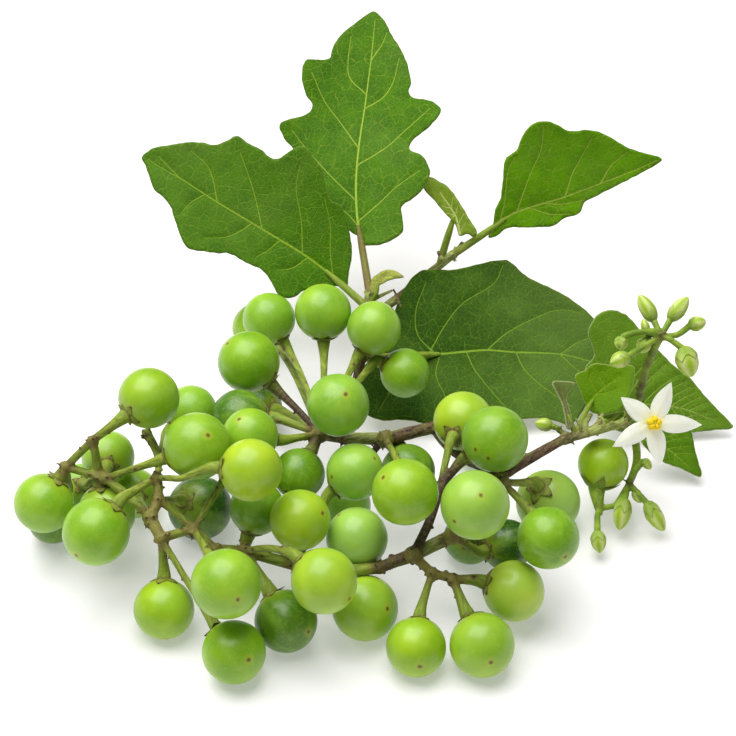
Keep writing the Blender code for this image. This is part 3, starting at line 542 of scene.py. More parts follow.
def fine(line, radii, step=1.2):
    """The same line and radii, in finer steps."""
    marks = [Vector((*place, radius * MM)) for place, radius in zip(line, radii)]
    marks = curve_through(marks, step * MM)
    return [mark.xyz for mark in marks], [mark.w / MM for mark in marks]


print("curves are ready")

# %% Lines that go round berries
CLEAR_ROUNDS = 4
EASE_ROUNDS = 10
EASE_SHARE = 0.3


def push_out(point, room, balls):
    """Move a point out of the balls and up from the table."""
    for ball in balls:
        away = point - ball.place
        least = ball.radius + room
        if away.length < least:
            point = ball.place + away.normalized() * least
    point.z = max(point.z, room)
    return point


def clear_hubs(berries):
    """The hubs' places, moved out of any berry."""
    places = {}
    for name, (px, py, height, radius) in HUBS.items():
        place = spot(px, py, height)
        for _ in range(CLEAR_ROUNDS):
            place = push_out(place, (radius * KNOB_SWELL + GAP) * MM, berries)
        places[name] = place
    return places


def stop_place(stop):
    """A hub by its name, or a picture point with a height."""
    return hub_places[stop] if isinstance(stop, str) else spot(*stop)


def stalk_line(points, radius, balls):
    """A smooth line through the points that goes round the balls; hubs stay in place."""
    line = curve_through(points, STALK_STEP * MM)
    room = (radius + STALK_ROOM) * MM
    loose = [i for i in range(1, len(line) - 1)
             if all((line[i] - hub).length > 0.01 * MM for hub in hub_places.values())]
    for _ in range(EASE_ROUNDS):
        for i in loose:
            eased = line[i].lerp((line[i - 1] + line[i + 1]) / 2, EASE_SHARE)
            line[i] = push_out(eased, room, balls)
    return line


def named_hubs(runs):
    """The hubs that these runs pass."""
    return sorted({stop for stops, _, _ in runs for stop in stops if isinstance(stop, str)})


def woody_run(stops, start, end, balls):
    """The line of a stem or branch, which goes round the balls, and its radii."""
    line = stalk_line([stop_place(stop) for stop in stops], max(start, end), balls)
    return line, taper(start, end, len(line))


def stem_balls():
    """Balls along the woody stem, which the stalks go round."""
    balls = []
    for stops, start, end in STEM_RUNS:
        line, _ = woody_run(stops, start, end, berries)
        line += [a.lerp(b, 0.5) for a, b in zip(line, line[1:])]
        balls += [Ball(place, max(start, end) * MM) for place in line]
    return balls


hub_places = clear_hubs(berries)
obstacles = berries + stem_balls()
print("the stem has", len(STEM_RUNS), "runs, the stalks go round", len(obstacles), "balls")

# %% [markdown]
# ## Grown shapes
# Stalks, knobs and scars flow into each other without a seam. The easiest way to get that in
# Blender is to lay closed tubes and balls into one another, melt them into one skin with a
# voxel remesh, and smooth the skin a little. What colour each point then has comes from how
# near it is to named spots, kept in a search tree.

# %% Tubes, balls and melting
def around(angle, radius, height=0):
    """The point at an angle and a radius round the Z axis, at a height."""
    return Vector((radius * math.cos(angle), radius * math.sin(angle), height))


def join_rings(body, rings):
    """Join rings of points into a closed tube."""
    for one, other in zip(rings, rings[1:]):
        for k in range(len(one)):
            after = (k + 1) % len(one)
            body.faces.new((one[k], one[after], other[after], other[k]))
    body.faces.new(rings[0][::-1])
    body.faces.new(rings[-1])


def tube(body, line, radii, sides=12):
    """Add a closed tube along a line, with a radius in millimetres at each point."""
    last = len(line) - 1
    side = (line[1] - line[0]).orthogonal().normalized()
    turns = [around(math.tau * k / sides, 1) for k in range(sides)]
    rings = []
    for i, (place, radius) in enumerate(zip(line, radii)):
        along = (line[min(i + 1, last)] - line[max(i - 1, 0)]).normalized()
        side = (side - along * side.dot(along)).normalized()
        over = along.cross(side)
        rings.append([body.verts.new(place + (side * turn.x + over * turn.y) * radius * MM)
                      for turn in turns])
    join_rings(body, rings)


def ball(body, place, radius):
    """Add a small closed ball, with its radius in millimetres."""
    bmesh.ops.create_icosphere(body, subdivisions=2, radius=radius * MM,
                               matrix=Matrix.Translation(place))


def melt(name, body, voxel=0.24):
    """Melt the overlapping shapes of a body into one smooth skin."""
    mesh = bpy.data.meshes.new(name)
    body.to_mesh(mesh)
    body.free()
    piece = new_object(name, mesh)
    remesh = piece.modifiers.new("melt", "REMESH")
    remesh.mode = "VOXEL"
    remesh.voxel_size = voxel * MM
    ease = piece.modifiers.new("ease", "SMOOTH")
    ease.factor = 0.5
    ease.iterations = 3
    graph = bpy.context.evaluated_depsgraph_get()
    melted = bpy.data.meshes.new_from_object(piece.evaluated_get(graph))
    piece.modifiers.clear()
    piece.data = melted
    melted.name = name
    bpy.data.meshes.remove(mesh)
    melted.shade_smooth()
    return piece


print("tubes, balls and melting are ready")

# %% What each point carries
STREAK_SHARE = 0.16


def carry(mesh, name, values):
    """Store a number or a vector for each point of a mesh under a name."""
    values = np.asarray(values, dtype=float)
    is_vector = values.ndim == 2
    layer = mesh.attributes.new(name, "FLOAT_VECTOR" if is_vector else "FLOAT", "POINT")
    layer.data.foreach_set("vector" if is_vector else "value", values.ravel())


def fill(mesh, body, layers):
    """Move a body into a mesh, smooth and facing out, with what its points carry."""
    bmesh.ops.recalc_face_normals(body, faces=body.faces[:])
    body.to_mesh(mesh)
    body.free()
    mesh.shade_smooth()
    for name, values in layers.items():
        carry(mesh, name, values)
    return mesh


def search_tree(places):
    """A tree that finds the nearest of many places fast."""
    tree = kdtree.KDTree(len(places))
    for i, place in enumerate(places):
        tree.insert(place, i)
    tree.balance()
    return tree


def nearness(mesh, spots):
    """For each point, how near it is to the nearest of (place, reach in mm), from 0 to 1."""
    tree = search_tree([place for place, _ in spots])
    longest = max((reach for _, reach in spots), default=0) * MM
    found = []
    for vert in mesh.vertices:
        near = 0
        for _, i, distance in tree.find_range(vert.co, longest):
            near = max(near, 1 - distance / (spots[i][1] * MM))
        found.append(near)
    return found


def streaks(mesh, lines):
    """For each point, its place beside the nearest line, with the way along it shortened."""
    marks = []
    for line in lines:
        run = 0
        for i, place in enumerate(line):
            along = (line[min(i + 1, len(line) - 1)] - line[max(i - 1, 0)]).normalized()
            run += (place - line[max(i - 1, 0)]).length
            marks.append((place, along, run))
    tree = search_tree([place for place, _, _ in marks])
    found = []
    for vert in mesh.vertices:
        place, along, run = marks[tree.find(vert.co)[1]]
        past = (vert.co - place).dot(along)
        side = vert.co - place - along * past
        found.append((side + Vector((1, 1, 1)) * STREAK_SHARE * (run + past)) / MM)
    return found


print("each point can carry values")

# %% [markdown]
# ## Woody stem
# The stem is young wood: brown-purple bark over green, with pale flecks. It swells where
# stalks and leaves leave it, and short scars stand where older flowers fell off. A curve with
# a round bevel would stay too even. So each run is a tube with uneven radii, knobs are balls
# with warts and spikes, and all of them are melted into one skin.

# %% Bark finish
def bark_finish():
    """Bark that is brown, and green where the stem is young."""
    finish, base = new_finish("bark", Specular_IOR_Level=0.2)
    place = base.place()
    lie = base.attribute("lie", "Vector")
    young = base.attribute("young")
    streak = base.noise(lie, 1.9, 3, 0.6)
    patch = base.noise(lie, 0.55, 2, 0.6)
    grain = base.noise(place, 1900, 3, 0.7)
    wood = streak.step(0.35, 0.6).blend(srgb(58, 42, 34), srgb(104, 82, 62))
    wood = (patch.step(0.46, 0.62) * 0.75).blend(wood, srgb(112, 112, 58))
    wood = (grain.step(0.56, 0.68) * 0.5).blend(wood, srgb(160, 150, 112))
    green = streak.step(0.35, 0.65).blend(srgb(122, 134, 60), srgb(166, 174, 104))
    green = (patch.step(0.55, 0.7) * 0.6).blend(green, srgb(120, 96, 66))
    colour = (young * 1.6 + streak * 0.6 - 0.4).clip().blend(wood, green)
    colour.feed("Base Color")
    (grain * 0.2 + 0.55).feed("Roughness")
    (grain * 0.4 + streak * 0.6).bump(0.22)
    return finish


bark = bark_finish()
print("bark finish ready")

# %% Warts and scars
WARTS = 10


def add_warts(body, place, radius, rng):
    """Rough warts and a few dry spikes round a knob; returns their tips."""
    tips = []
    for i in range(WARTS):
        out = Vector((rng.gauss(0, 1), rng.gauss(0, 1), rng.gauss(0, 1))).normalized()
        spike = i % 4 == 0
        size = rng.uniform(0.3, 0.36) if spike else rng.uniform(0.3, 0.55)
        rise = rng.uniform(0.6, 1.1) if spike else rng.uniform(0.1, 0.5)
        tip = place + out * (radius + rise) * MM
        tube(body, [place, tip], [size, size * (0.6 if spike else 0.75)], sides=7)
        tips.append(tip)
    return tips


def add_scar(body, line, radii, i, rng, size):
    """A short stub on the side of a stalk, where a flower fell off; returns its tip."""
    along = (line[i + 1] - line[i - 1]).normalized()
    side = along.orthogonal().normalized()
    out = Matrix.Rotation(rng.uniform(0, math.tau), 3, along) @ side
    foot = line[i] + out * radii[i] * 0.6 * MM
    tip = line[i] + (out + along * 0.25) * (radii[i] + size * rng.uniform(0.7, 1.6)) * MM
    tube(body, [foot, tip], [size, size * 0.6], sides=6)
    return tip


def add_scars(body, line, radii, rng, size, every, chance=1):
    """Scars at every third or fourth point of a stalk, or at some of them; returns their tips."""
    return [add_scar(body, line, radii, i, rng, size)
            for i in range(every - 1, len(line) - every + 1, every)
            if chance == 1 or rng.random() < chance]


print("warts and scars are ready")

# %% Build the woody stem
KNOB_COVER = 1.12
LEAST_KNOB = 0.9
# Where the stem is still young and green, with how far that reaches in millimetres.
YOUNG_SPOTS = [("right_shoot", 9), ("leaf_fork", 7), ("spray_node", 7), ("stem_tip", 7)]
GREEN_SPOTS = [((360, 434, 20), 5), ((372, 437, 20), 3), ((480, 505, 18), 3),
               ((430, 547, 15), 4), ((395, 300, 19), 3.5), ((382, 296, 25), 4.5),
               ((598, 420, 22), 8), ((567, 436, 19), 4)]
# Thin side twigs and curled tendrils, as picture points with heights and end radii.
TWIGS = [
    ([(370, 301, 23), (380, 296, 25), (393, 290, 26)], 0.62, 0.3),
    ([(401, 308, 16), (398, 298, 17.5), (393, 289, 19)], 0.36, 0.3),
    ([(586, 434, 19), (585, 424, 20), (591, 414, 20)], 0.9, 0.5),
    ([(592, 432, 19), (598, 424, 20), (603, 413, 20)], 0.9, 0.4),
    ([(580, 436, 20), (580, 426, 22), (575, 418, 23)], 0.4, 0.3),
    ([(598, 432, 20), (604, 426, 22), (603, 419, 23), (597, 417, 23)], 0.4, 0.3),
    ([(606, 430, 20), (612, 422, 22), (618, 424, 22)], 0.4, 0.3),
]
# Short stubs of fallen stalks: foot and tip as picture points with heights.
STUBS = [((443, 261, 23.5), (438, 251, 25)), ((456, 252, 23.5), (463, 242, 25))]
STUB_RADII = [0.62, 0.55, 0.45]
STUB_DRY_REACH = 1.6


def stem_piece():
    """The stem's runs, knobs, stubs and twigs, melted into one."""
    body = bmesh.new()
    rng = random.Random(4)
    lines = []
    for stops, start, end in STEM_RUNS:
        line, radii = fine(*woody_run(stops, start, end, berries))
        radii = [r * (1 + 0.09 * noise.noise(p / MM * 0.4)) for r, p in zip(radii, line)]
        tube(body, line, radii)
        lines.append(line)
        add_scars(body, line, radii, rng, size=0.35, every=3, chance=0.4)
    for name in named_hubs(STEM_RUNS):
        radius = HUBS[name][3]
        ball(body, hub_places[name], max(radius, LEAST_KNOB) * KNOB_COVER)
        if radius:
            add_warts(body, hub_places[name], radius * KNOB_COVER, rng)
    for foot, tip in STUBS:
        foot, tip = spot(*foot), spot(*tip)
        tube(body, *fine([foot, foot.lerp(tip, 0.5), tip], STUB_RADII, 0.4), sides=9)
    for twig, start, end in TWIGS:
        line = curve_through([spot(*place) for place in twig], 1.5 * MM)
        tube(body, *fine(line, taper(start, end, len(line)), 0.5), sides=9)
    piece = melt("woody_stem_bark", body)
    young = [(hub_places[name], reach) for name, reach in YOUNG_SPOTS]
    young += [(spot(*place), reach) for place, reach in GREEN_SPOTS]
    dry = nearness(piece.data, [(spot(*tip), STUB_DRY_REACH) for _, tip in STUBS])
    young = [near - dead * 2 for near, dead in zip(nearness(piece.data, young), dry)]
    carry(piece.data, "young", young)
    carry(piece.data, "lie", streaks(piece.data, lines))
    piece.data.materials.append(bark)
    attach(piece, "root")
    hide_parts("woody_stem")
    return piece


woody_stem = stem_piece()
print("woody stem:", len(woody_stem.data.polygons), "faces")

# %% [markdown]
# ## Stalks and calyxes
# A berry's stalk is olive, thin at first, and widens into a ridged cone. The cone ends in a
# calyx: five short pointed sepals that hug the berry and have dry brown tips. Knobs and scars
# are brown and rough. The stalks of one bunch are melted together, and the sepals, which are
# too thin to melt, are laid on as small curved sheets.

# %% Stalk finish
def stalk_finish():
    """Olive skin, fresh near the berries and brown on knobs and scars."""
    finish, base = new_finish("stalk_green", Specular_IOR_Level=0.25)
    place = base.place()
    lie = base.attribute("lie", "Vector")
    brown = base.attribute("brown")
    dark = base.attribute("dark")
    fresh = base.attribute("fresh")
    streak = base.noise(lie, 1.7, 3, 0.6)
    patch = base.noise(lie, 0.5, 2, 0.6)
    grain = base.noise(place, 1900, 3, 0.7)
    green = streak.step(0.32, 0.66).blend(srgb(104, 122, 34), srgb(150, 164, 62))
    green = (fresh.clip() * 0.6).blend(green, srgb(126, 156, 40))
    patches = (brown.step(0.1, 0.6) * 0.9 + patch * 1.3 + streak * 0.8 - 1.15).clip()
    colour = (patches * 0.85).blend(green, grain.blend(srgb(84, 56, 34), srgb(142, 112, 76)))
    colour = (dark * 1.7).clip().blend(colour, streak.blend(srgb(40, 26, 22), srgb(84, 62, 46)))
    colour = (brown.step(0.55, 0.9) * 0.9).blend(colour, srgb(44, 28, 20))
    colour = (grain.step(0.56, 0.68) * 0.3).blend(colour, srgb(160, 158, 104))
    colour.feed("Base Color")
    (grain * 0.2 + 0.45).feed("Roughness")
    (grain * 0.35 + streak * 0.65).bump(0.2)
    return finish


stalk_green = stalk_finish()
print("stalk finish ready")

# %% Sepals
VISUAL_SHARE = 0.985
SEPAL_START = math.radians(9)
SEPAL_REACH = math.radians(29)
SEPAL_ROWS = 8
SEPAL_COLUMNS = 7
SEPAL_LIFT = 0.04
SEPAL_THICKNESS = 0.16


def aim_at(place, direction):
    """The matrix that puts +Z along a direction, at a place."""
    return Matrix.Translation(place) @ direction.to_track_quat("Z", "Y").to_matrix().to_4x4()


def skin(body, layers):
    """Join two layers of rows of points into a closed sheet."""
    under, over = layers
    rows, columns = len(over), len(over[0])
    for i in range(rows - 1):
        for k in range(columns - 1):
            body.faces.new((over[i][k], over[i][k + 1], over[i + 1][k + 1], over[i + 1][k]))
            body.faces.new((under[i][k], under[i + 1][k], under[i + 1][k + 1], under[i][k + 1]))
    rim = [(0, k) for k in range(columns - 1)] + [(i, columns - 1) for i in range(rows - 1)]
    rim += [(rows - 1, k) for k in range(columns - 1, 0, -1)]
    rim += [(i, 0) for i in range(rows - 1, 0, -1)]
    for (i, k), (m, n) in zip(rim, rim[1:] + rim[:1]):
        body.faces.new((over[m][n], over[i][k], under[i][k], under[m][n]))


def sepal(body, turn, radius, turned, reach, lift, tips):
    """One pointed sepal on a ball; how dry each point is goes into tips."""
    layers = []
    for depth in (0, SEPAL_THICKNESS * MM):
        rows = []
        for i in range(SEPAL_ROWS):
            s = i / (SEPAL_ROWS - 1)
            polar = SEPAL_START + (reach - SEPAL_START) * s
            half_width = 0.24 * (1 - s ** 1.7) / max(math.sin(polar), 0.2) + 0.015
            height = radius + (SEPAL_LIFT + lift * s ** 3) * MM + depth * (1 - 0.7 * s)
            row = []
            for k in range(SEPAL_COLUMNS):
                across = k / (SEPAL_COLUMNS - 1) * 2 - 1
                angle = turned + across * half_width
                keel = 0.14 * (1 - across ** 2) * (1 - s) * MM
                out = around(angle, math.sin(polar), math.cos(polar))
                row.append(body.verts.new(turn @ (out * (height + keel))))
                tips.append(max(s ** 3, 0.75 * s * abs(across) ** 4))
            rows.append(row)
        layers.append(rows)
    skin(body, layers)


print("a sepal has", SEPAL_ROWS * SEPAL_COLUMNS * 2, "points")

# %% The stalk of one berry
SLIM_RADIUS = 0.66
CONE_RADIUS = 1.5
CONE_REACH = 2.6


def cone_radii(line):
    """A stalk's radii in millimetres: slim, then wider towards the berry at its end."""
    left, radii = -STALK_DEPTH, [CONE_RADIUS]
    for point, after in zip(line[-2::-1], line[:0:-1]):
        left += (point - after).length / MM
        radii.append(SLIM_RADIUS + (CONE_RADIUS - SLIM_RADIUS)
                     / (1 + (max(left, 0) / CONE_REACH) ** 1.5))
    return radii[::-1]


def berry_stalk(berry):
    """The pole of a berry, and the line of its stalk."""
    stops = [stop_place(stop) for stop in berry.stalk]
    pole = (stops[-1] - berry.place).normalized()
    stops.append(berry.place + pole * (berry.radius + (STALK_RADIUS + STALK_ROOM) * MM))
    line = stalk_line(stops, STALK_RADIUS, obstacles)
    line.append(berry.place + pole * (berry.radius - STALK_DEPTH * MM))
    return pole, line


print("a stalk widens from", SLIM_RADIUS, "to", CONE_RADIUS, "mm round its middle line")

# %% Build the stalks of each bunch
BROWN_RING = 12
# How far round a place its colour reaches: on dark branches and stalks, where a cone is still
# fresh, and at the dry tips of end warts, of other warts and of scars.
DARK_BRANCH_REACH = 2.2
DARK_STALK_REACH = 2.0
FRESH_REACH = 5
END_REACH = 1.0
WART_REACH = 1.1
SCAR_REACH = 1.2
# Stalks that have turned dark brown: of berries, by picture point, and of branches.
DARK_STALKS = [(249, 362), (299, 474), (345, 505), (478, 441), (408, 471), (495, 439)]
DARK_BRANCHES = [("front_crown", (424, 541, 17), (437, 520, 20), "middle_right"),
                 ("stem_end", "front_turn")]


def ring_spots(berry, pole):
    """Spots in a ring where the cone meets the berry; the skin there is coloured dark brown."""
    turn = aim_at(berry.place, pole)
    radius = CONE_RADIUS * MM
    rise = math.sqrt(berry.radius ** 2 - radius ** 2)
    return [(turn @ around(math.tau * k / BROWN_RING, radius, rise), 0.75)
            for k in range(BROWN_RING)]


def add_calyxes(piece, own_berries, poles, rng):
    """Lay five sepals round each berry's pole and join them to the stalks."""
    body = bmesh.new()
    body.from_mesh(piece.data)
    tips = [0] * len(body.verts)
    for berry, pole in zip(own_berries, poles):
        turn = aim_at(berry.place, pole)
        start = rng.uniform(-0.2, 0.2)
        for i in range(5):
            reach = SEPAL_REACH * rng.uniform(0.8, 1.15)
            sepal(body, turn, berry.radius * VISUAL_SHARE, start + math.tau * i / 5, reach,
                  rng.choice((0, 0, 0.1, 0.5)), tips)
    fill(piece.data, body, {"tip": tips})
    return tips


def stalks_piece(name):
    """The stalks, knobs and scars of a bunch, melted into one, with the calyxes on them."""
    body = bmesh.new()
    rng = random.Random(len(name))
    brown, tan, fresh, dark, lines, poles = ([] for _ in range(6))
    branches, own_berries = BUNCHES[name]["branches"], bunch_berries[name]
    for stops, start, end in branches:
        line, radii = fine(*woody_run(stops, start, end, obstacles))
        tube(body, line, radii)
        lines.append(line)
        dark += [(place, DARK_BRANCH_REACH) for place in line if tuple(stops) in DARK_BRANCHES]
        if not isinstance(stops[-1], str):
            ball(body, line[-1], end * 1.2)
            brown += [(tip, END_REACH) for tip in add_warts(body, line[-1], end, rng)]
        tips = add_scars(body, line, radii, rng, size=0.38, every=3)
        brown += [(tip, WART_REACH) for tip in tips]
    for berry in own_berries:
        pole, line = berry_stalk(berry)
        poles.append(pole)
        line, _ = fine(line, [SLIM_RADIUS] * len(line))
        girth = rng.uniform(0.9, 1.12)
        radii = [r * girth for r in cone_radii(line)]
        tube(body, line, radii)
        lines.append(line)
        dark += [(place, DARK_STALK_REACH) for place in line if berry.pixel in DARK_STALKS]
        fresh.append((berry.place + pole * berry.radius, FRESH_REACH))
        brown += ring_spots(berry, pole)
        tips = add_scars(body, line, radii, rng, size=0.3, every=4, chance=0.7)
        brown += [(tip, SCAR_REACH) for tip in tips]
    for hub in named_hubs(branches + [(berry.stalk, 0, 0) for berry in own_berries]):
        if hub not in named_hubs(STEM_RUNS):
            radius = HUBS[hub][3] * KNOB_COVER
            ball(body, hub_places[hub], radius)
            tan.append((hub_places[hub], radius * 2.8))
            tips = add_warts(body, hub_places[hub], radius, rng)
            brown += [(tip, WART_REACH) for tip in tips]
    piece = melt("stalks_" + name, body)
    tips = add_calyxes(piece, own_berries, poles, rng)
    mesh = piece.data
    spots = zip(nearness(mesh, brown), nearness(mesh, tan), tips)
    carry(mesh, "brown", [max(b, min(n, 0.5), t * 1.1) for b, n, t in spots])
    carry(mesh, "fresh", nearness(mesh, fresh))
    carry(mesh, "dark", nearness(mesh, dark))
    carry(mesh, "lie", streaks(mesh, lines))
    mesh.materials.append(stalk_green)
    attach(piece, "root")
    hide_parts(name)
    return piece


for bunch_name in BUNCHES:
    stalks = stalks_piece(bunch_name)
    print(stalks.name, len(stalks.data.polygons), "faces")

# %% [markdown]
# ## Berries
# The skin is smooth and satin. It is apple green with paler clouds, lighter round the little
# brown dot opposite the stalk, where the flower's style fell off. Light sinks a little way in,
# so the edges look milky. One ball could be copied to each place, but no two berries are the
# same. So each is built from its own seed, and each point carries its place on its own berry,
# so that clouds and dots sit on the berry and not in the room.

# %% Berry finish
def berry_finish():
    """Green skin with clouds, ribs, specks and two dots."""
    finish, base = new_finish(
        "berry_skin", Specular_IOR_Level=0.28, Subsurface_Weight=0.18, Subsurface_Scale=0.0014,
        Subsurface_Radius=(0.7, 1.0, 0.12), Coat_Weight=0.5, Coat_Roughness=0.26)
    skin_place = base.attribute("skin", "Vector")
    seed = base.attribute("seed")
    tint = base.attribute("tint")
    milk_and_shade = base.attribute("milk_and_shade")
    pole_side = base.attribute("pole_side")
    moved = base.node("ShaderNodeCombineXYZ", {}, {0: seed, 1: seed})
    shifted = base.vector("ADD", {0: skin_place, 1: moved})
    ribbed = base.vector("ADD", {0: base.attribute("ribs", "Vector"), 1: moved})
    clouds = base.noise(shifted, 0.13, 2, 0.5)
    ribs = base.noise(ribbed, 1.6, 2, 0.5)
    mottle = base.noise(shifted, 1.2, 3, 0.6)
    specks = base.noise(shifted, 4.0, 2, 0.5)
    green = clouds.step(0.3, 0.72).blend(srgb(112, 166, 0), srgb(148, 196, 24))
    yellow = clouds.step(0.25, 0.75).blend(srgb(158, 192, 0), srgb(194, 216, 32))
    colour = tint.clip().blend(green, yellow)
    colour = milk_and_shade.clip().blend(colour, srgb(166, 204, 112))
    # Below zero: a deeper green, partly the berry's own and partly painted shade.
    colour = (0 - milk_and_shade).clip().blend(colour, srgb(38, 88, 0))
    colour = (ribs.step(0.45, 0.72) * 0.4).blend(colour, srgb(156, 196, 66))
    colour = (mottle.step(0.48, 0.76) * 0.28).blend(colour, srgb(164, 200, 82))
    colour = (specks.step(0.6, 0.7) * 0.2).blend(colour, srgb(196, 218, 128))
    colour = (pole_side.step(0.6, 1.0) * 0.55).blend(colour, srgb(150, 170, 26))
    for mark in ("mark_a", "mark_b"):
        away = base.vector("DISTANCE", {0: skin_place, 1: base.attribute(mark, "Vector")},
                           output="Value")
        uneven = away + mottle * 0.5 - 0.25
        colour = (uneven.step(1.7, 0.0) * 0.42).blend(colour, srgb(178, 190, 50))
        colour = (uneven.step(0.62, 0.12) * 0.9).blend(colour, srgb(98, 72, 20))
    colour.feed("Base Color")
    (mottle * 0.1 + 0.42).feed("Roughness")
    (mottle * 0.6 + specks * 0.4).bump(0.03)
    return finish


berry_skin = berry_finish()
print("berry finish ready")

# %% Marks and tints of single berries
# The picture points of the dots seen on some berries, keyed by the berry's own picture point.
SEEN_MARKS = {
    (197, 446): [(208, 435)], (96, 532): [(76, 556)], (226, 584): [(238, 600)],
    (234, 652): [(249, 660)], (249, 362): [(227, 343)], (338, 405): [(346, 394)],
    (250, 436): [(239, 419)], (355, 472): [(375, 458), (331, 477)], (300, 520): [(323, 513)],
    (405, 492): [(383, 477)], (286, 621): [(309, 632)], (365, 608): [(388, 609)],
    (416, 647): [(420, 667)], (482, 645): [(491, 663)], (475, 505): [(481, 495), (454, 522)],
    (495, 439): [(475, 450), (488, 459)],
}
# How yellow a berry is, and how milky. Below zero a berry is darker instead: partly a deeper
# green of its own, partly painted shade on berries that lie under others.
TINTS = {
    (251, 470): (0.75, 0), (463, 421): (0.75, 0.05), (514, 591): (1, 0.25),
    (164, 609): (0.4, 0), (405, 492): (0.3, -0.05), (324, 581): (0.6, 0.1),
    (286, 621): (0.1, -0.7), (365, 608): (0.45, 0.1), (416, 647): (0.4, 0),
    (482, 645): (0.35, 0.1), (300, 520): (0.7, 0.05), (357, 538): (0.1, 0.45),
    (355, 472): (0, 0.25), (475, 505): (0.2, 0.3), (226, 584): (0.2, 0.1),
    (338, 405): (0, 0.15), (240, 418): (0, -0.8), (258, 408): (0, -1), (507, 545): (0, -1),
    (257, 508): (0, -0.3), (200, 508): (0, -1), (470, 538): (0, -0.6),
    (374, 328): (0.1, 0.15), (323, 312): (0.1, 0.1), (269, 319): (0.05, 0.1),
    (44, 503): (0.1, 0.05), (53, 518): (0, -0.6), (96, 532): (0.05, 0.05),
    (191, 411): (0.1, 0.1), (548, 502): (0.45, 0.55), (548, 538): (0, -0.2),
    (234, 652): (0.15, -0.05), (197, 446): (0.1, -0.1), (149, 398): (0.35, -0.1),
    (250, 436): (0.2, 0.05), (345, 505): (0, 0.2), (495, 439): (0, -0.2),
    (299, 474): (0.05, -0.5), (408, 471): (0.1, -0.6), (405, 373): (0, -0.15),
    (249, 362): (0.05, -0.1), (603, 464): (0.6, -0.05),
}
print(len(SEEN_MARKS), "berries have dots that can be seen")

# %% Build the berries
BERRY_SEGMENTS = 44
BERRY_RINGS = 26


def mark_place(berry, pixel):
    """Where a line of sight meets the berry."""
    ray = sight(*pixel).normalized()
    to_centre = berry.place - EYE
    along = ray.dot(to_centre)
    miss = to_centre.length_squared - along ** 2
    back = math.sqrt(max(berry.radius ** 2 - miss, 0))
    return EYE + ray * (along - back) - berry.place


def keep_in(place):
    """A place, moved into the solids' box if it sticks out."""
    low, high = cad_box
    return Vector([min(max(v, a), b) for v, a, b in zip(place, low, high)])


def globe_points():
    """Points of a ball of radius one: the top, the rings from the top down, the bottom."""
    points = [Vector((0, 0, 1))]
    for i in range(1, BERRY_RINGS):
        polar = math.pi * i / BERRY_RINGS
        points += [around(math.tau * k / BERRY_SEGMENTS, math.sin(polar), math.cos(polar))
                   for k in range(BERRY_SEGMENTS)]
    return points + [Vector((0, 0, -1))]


def globe_faces(body, points):
    """Join the points of a ball with faces."""
    top, bottom = points[0], points[-1]
    rings = [points[1 + i * BERRY_SEGMENTS:1 + (i + 1) * BERRY_SEGMENTS]
             for i in range(BERRY_RINGS - 1)]
    for k in range(BERRY_SEGMENTS):
        after = (k + 1) % BERRY_SEGMENTS
        body.faces.new((top, rings[0][k], rings[0][after]))
        body.faces.new((bottom, rings[-1][after], rings[-1][k]))
        for one, other in zip(rings, rings[1:]):
            body.faces.new((one[k], other[k], other[after], one[after]))


def add_berry(body, berry, pole, rng, layers):
    """One berry, a little uneven, and flat where it rests."""
    turn = aim_at(Vector(), pole)
    seed = rng.uniform(0, 60)
    seen = [mark_place(berry, pixel) for pixel in SEEN_MARKS.get(berry.pixel, [])]
    own = turn @ Vector((rng.gauss(0, 0.1), rng.gauss(0, 0.1), -1)).normalized()
    marks = (seen or [own * berry.radius]) * 2
    tint, milk_and_shade = TINTS.get(berry.pixel, (rng.uniform(0, 0.3), rng.uniform(-0.1, 0.2)))
    same = {"mark_a": marks[0] * VISUAL_SHARE / MM, "mark_b": marks[1] * VISUAL_SHARE / MM,
            "seed": seed, "tint": tint, "milk_and_shade": milk_and_shade}
    points = []
    for unit in globe_points():
        wobble = 1 + 0.012 * noise.noise(unit * 1.1 + Vector((seed, 0, 0)))
        out = (turn @ unit) * berry.radius * VISUAL_SHARE * wobble
        points.append(body.verts.new(keep_in(berry.place + out)))
        ribs = Vector((unit.x, unit.y, 0)).normalized() + Vector((0, 0, 0.35 * unit.z))
        own_values = {"skin": out / MM, "pole_side": unit.z, "ribs": ribs}
        for key, value in (same | own_values).items():
            layers[key].append(value)
    globe_faces(body, points)


def berries_piece(piece_name, node, own_berries, rng):
    """One piece of berries, each given with its pole."""
    body = bmesh.new()
    layers = defaultdict(list)
    for berry, pole in own_berries:
        add_berry(body, berry, pole, rng, layers)
    piece = new_object(piece_name, fill(bpy.data.meshes.new(piece_name), body, layers))
    piece.data.materials.append(berry_skin)
    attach(piece, "root")
    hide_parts(node)
    print(piece_name, len(piece.data.polygons), "faces")


for bunch_name, bunch in bunch_berries.items():
    with_poles = [(berry, berry_stalk(berry)[0]) for berry in bunch]
    berries_piece("berries_" + bunch_name, bunch_name, with_poles, random.Random(11))

# %% [markdown]
# ## Leaves
# Each blade is drawn as its outline in the picture, which a sloping plane carries to its place
# in space. The blade is then folded a little along its midrib and waved at its edge. An even
# grid of squares would blur the veins. Here the triangles follow them, so a vein is a sharp
# pale line, and between the veins the blade swells a little, as a quilt does. The smallest net
# of veins is left to the finish.

